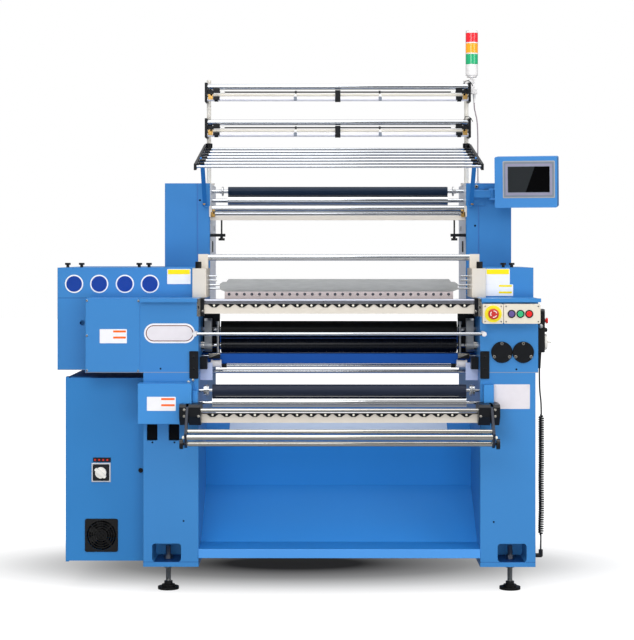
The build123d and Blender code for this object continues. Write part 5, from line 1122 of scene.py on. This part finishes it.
# Studio
# A wide pale floor with a painted shadow under the machine, a white surround, and soft lights in front of,
# above and beside the machine.
FLOOR_HALF = 9.0
FLOOR_CORNERS = ((-1, -1), (1, -1), (1, 3), (-1, 3))
BLACK = (0, 0, 0, 1)
WHITE = (1, 1, 1, 1)
FLOOR_GREY = (0.35, 0.35, 0.35, 1)
PAINTED_SHADOW_MIDDLE = (-0.18, 0.62)
PAINTED_SHADOW_REACH = (1.35, 0.62)
PAINTED_SHADOW_STOPS = ((0.0, 0.010), (0.10, 0.012), (0.26, 0.23), (0.45, 0.70), (0.65, 1.0))
floor_mesh = bpy.data.meshes.new("floor")
floor_mesh.from_pydata([(x * FLOOR_HALF, y * FLOOR_HALF, 0) for x, y in FLOOR_CORNERS], [], [(0, 1, 2, 3)])
floor = add_object("floor", floor_mesh)
# Painted shadow: a dark ellipse under the machine is painted into the floor's colour and glow, and fades out
# to white.
floor_white = Finish("floor_white", {"Specular IOR Level": 0.1, "Emission Strength": 1.0})
aside = (floor_white.across - PAINTED_SHADOW_MIDDLE[0]) * (1 / PAINTED_SHADOW_REACH[0])
behind = (floor_white.deep - PAINTED_SHADOW_MIDDLE[1]) * (1 / PAINTED_SHADOW_REACH[1])
ring = floor_white.node("Math", {"operation": "SQRT"}, {0: aside * aside + behind * behind})
painted_shadow_stops = [(at, (grey, grey, grey, 1)) for at, grey in PAINTED_SHADOW_STOPS]
painted_shadow = floor_white.node("ValToRGB", {"stops": painted_shadow_stops}, {0: ring * 0.5})
camera_ray = floor_white.node("LightPath")
floor_base_with_painted_shadow = floor_white.mix(0.3, BLACK, painted_shadow)
floor_white.feed("Base Color", floor_white.mix(camera_ray, FLOOR_GREY, floor_base_with_painted_shadow))
floor_white.feed("Emission Color", floor_white.mix(camera_ray, BLACK, painted_shadow))
floor_white.feed("Roughness", 0.75 + 0.1 * floor_white.grain(0.3))
floor_mesh.materials.append(floor_white.material)

surround = bpy.data.worlds.new("surround")
bpy.context.scene.world = surround
surround.use_nodes = True
SURROUND_STOPS = ((0.0, 0.10), (0.04, 0.16), (0.22, 0.36), (0.5, 0.62), (1.0, 0.85))
sky = NodeSheet(surround.node_tree)
level = sky.node("SeparateXYZ", {}, {0: sky.node("TexCoord", output="Generated")}, 2)
sky_stops = [(at, (light, light, light * 1.01, 1)) for at, light in SURROUND_STOPS]
sky_light = sky.node("ValToRGB", {"stops": sky_stops}, {0: level})
sky.join(sky.mix(sky.node("LightPath", output="Is Camera Ray"), sky_light, WHITE),
         sky.tree.nodes["Background"].inputs["Color"])


def soft_light(name, place, target, width, height, power):
    """A rectangular softbox that faces its target."""
    lamp = bpy.data.lights.new(name, "AREA")
    lamp.shape = "RECTANGLE"
    lamp.size = width
    lamp.size_y = height
    lamp.energy = power
    box = add_object(name, lamp)
    box.location = place
    box.rotation_euler = (Vector(target) - Vector(place)).to_track_quat("-Z", "Y").to_euler()
    return box


soft_light("front_softbox", (-1.4, -5.2, 3.6), (0, 0, 0.9), 3.4, 2.2, 78)
soft_light("top_softbox", (0.3, -0.6, 4.6), (0, 0.1, 1.0), 4.5, 3.0, 95)
soft_light("right_softbox", (4.2, -3.2, 2.2), (0.2, 0, 1.0), 2.0, 2.6, 52)
low_box = soft_light("low_softbox", (0.1, -5.4, 0.6), (0, 0, 0.35), 4.0, 1.0, 120)
low_box.visible_glossy = False

# Camera
# It stands in front of the machine, a little left of its middle, as the photograph's did.
CAMERA_PLACE = (-0.054, -6.5, 1.270)
CAMERA_TURN = math.radians(0.26)
HORIZON_SHIFT = -0.103
FOCAL_LENGTH = 97.5
SENSOR_WIDTH = 36
camera_data = bpy.data.cameras.new("camera")
camera_data.lens = FOCAL_LENGTH
camera_data.sensor_width = SENSOR_WIDTH
camera_data.shift_y = HORIZON_SHIFT
camera = add_object("camera", camera_data)
camera.location = spot(*CAMERA_PLACE)
camera.rotation_euler = (math.pi / 2, 0, CAMERA_TURN)
bpy.context.scene.camera = camera
bpy.context.scene.view_settings.view_transform = "Standard"
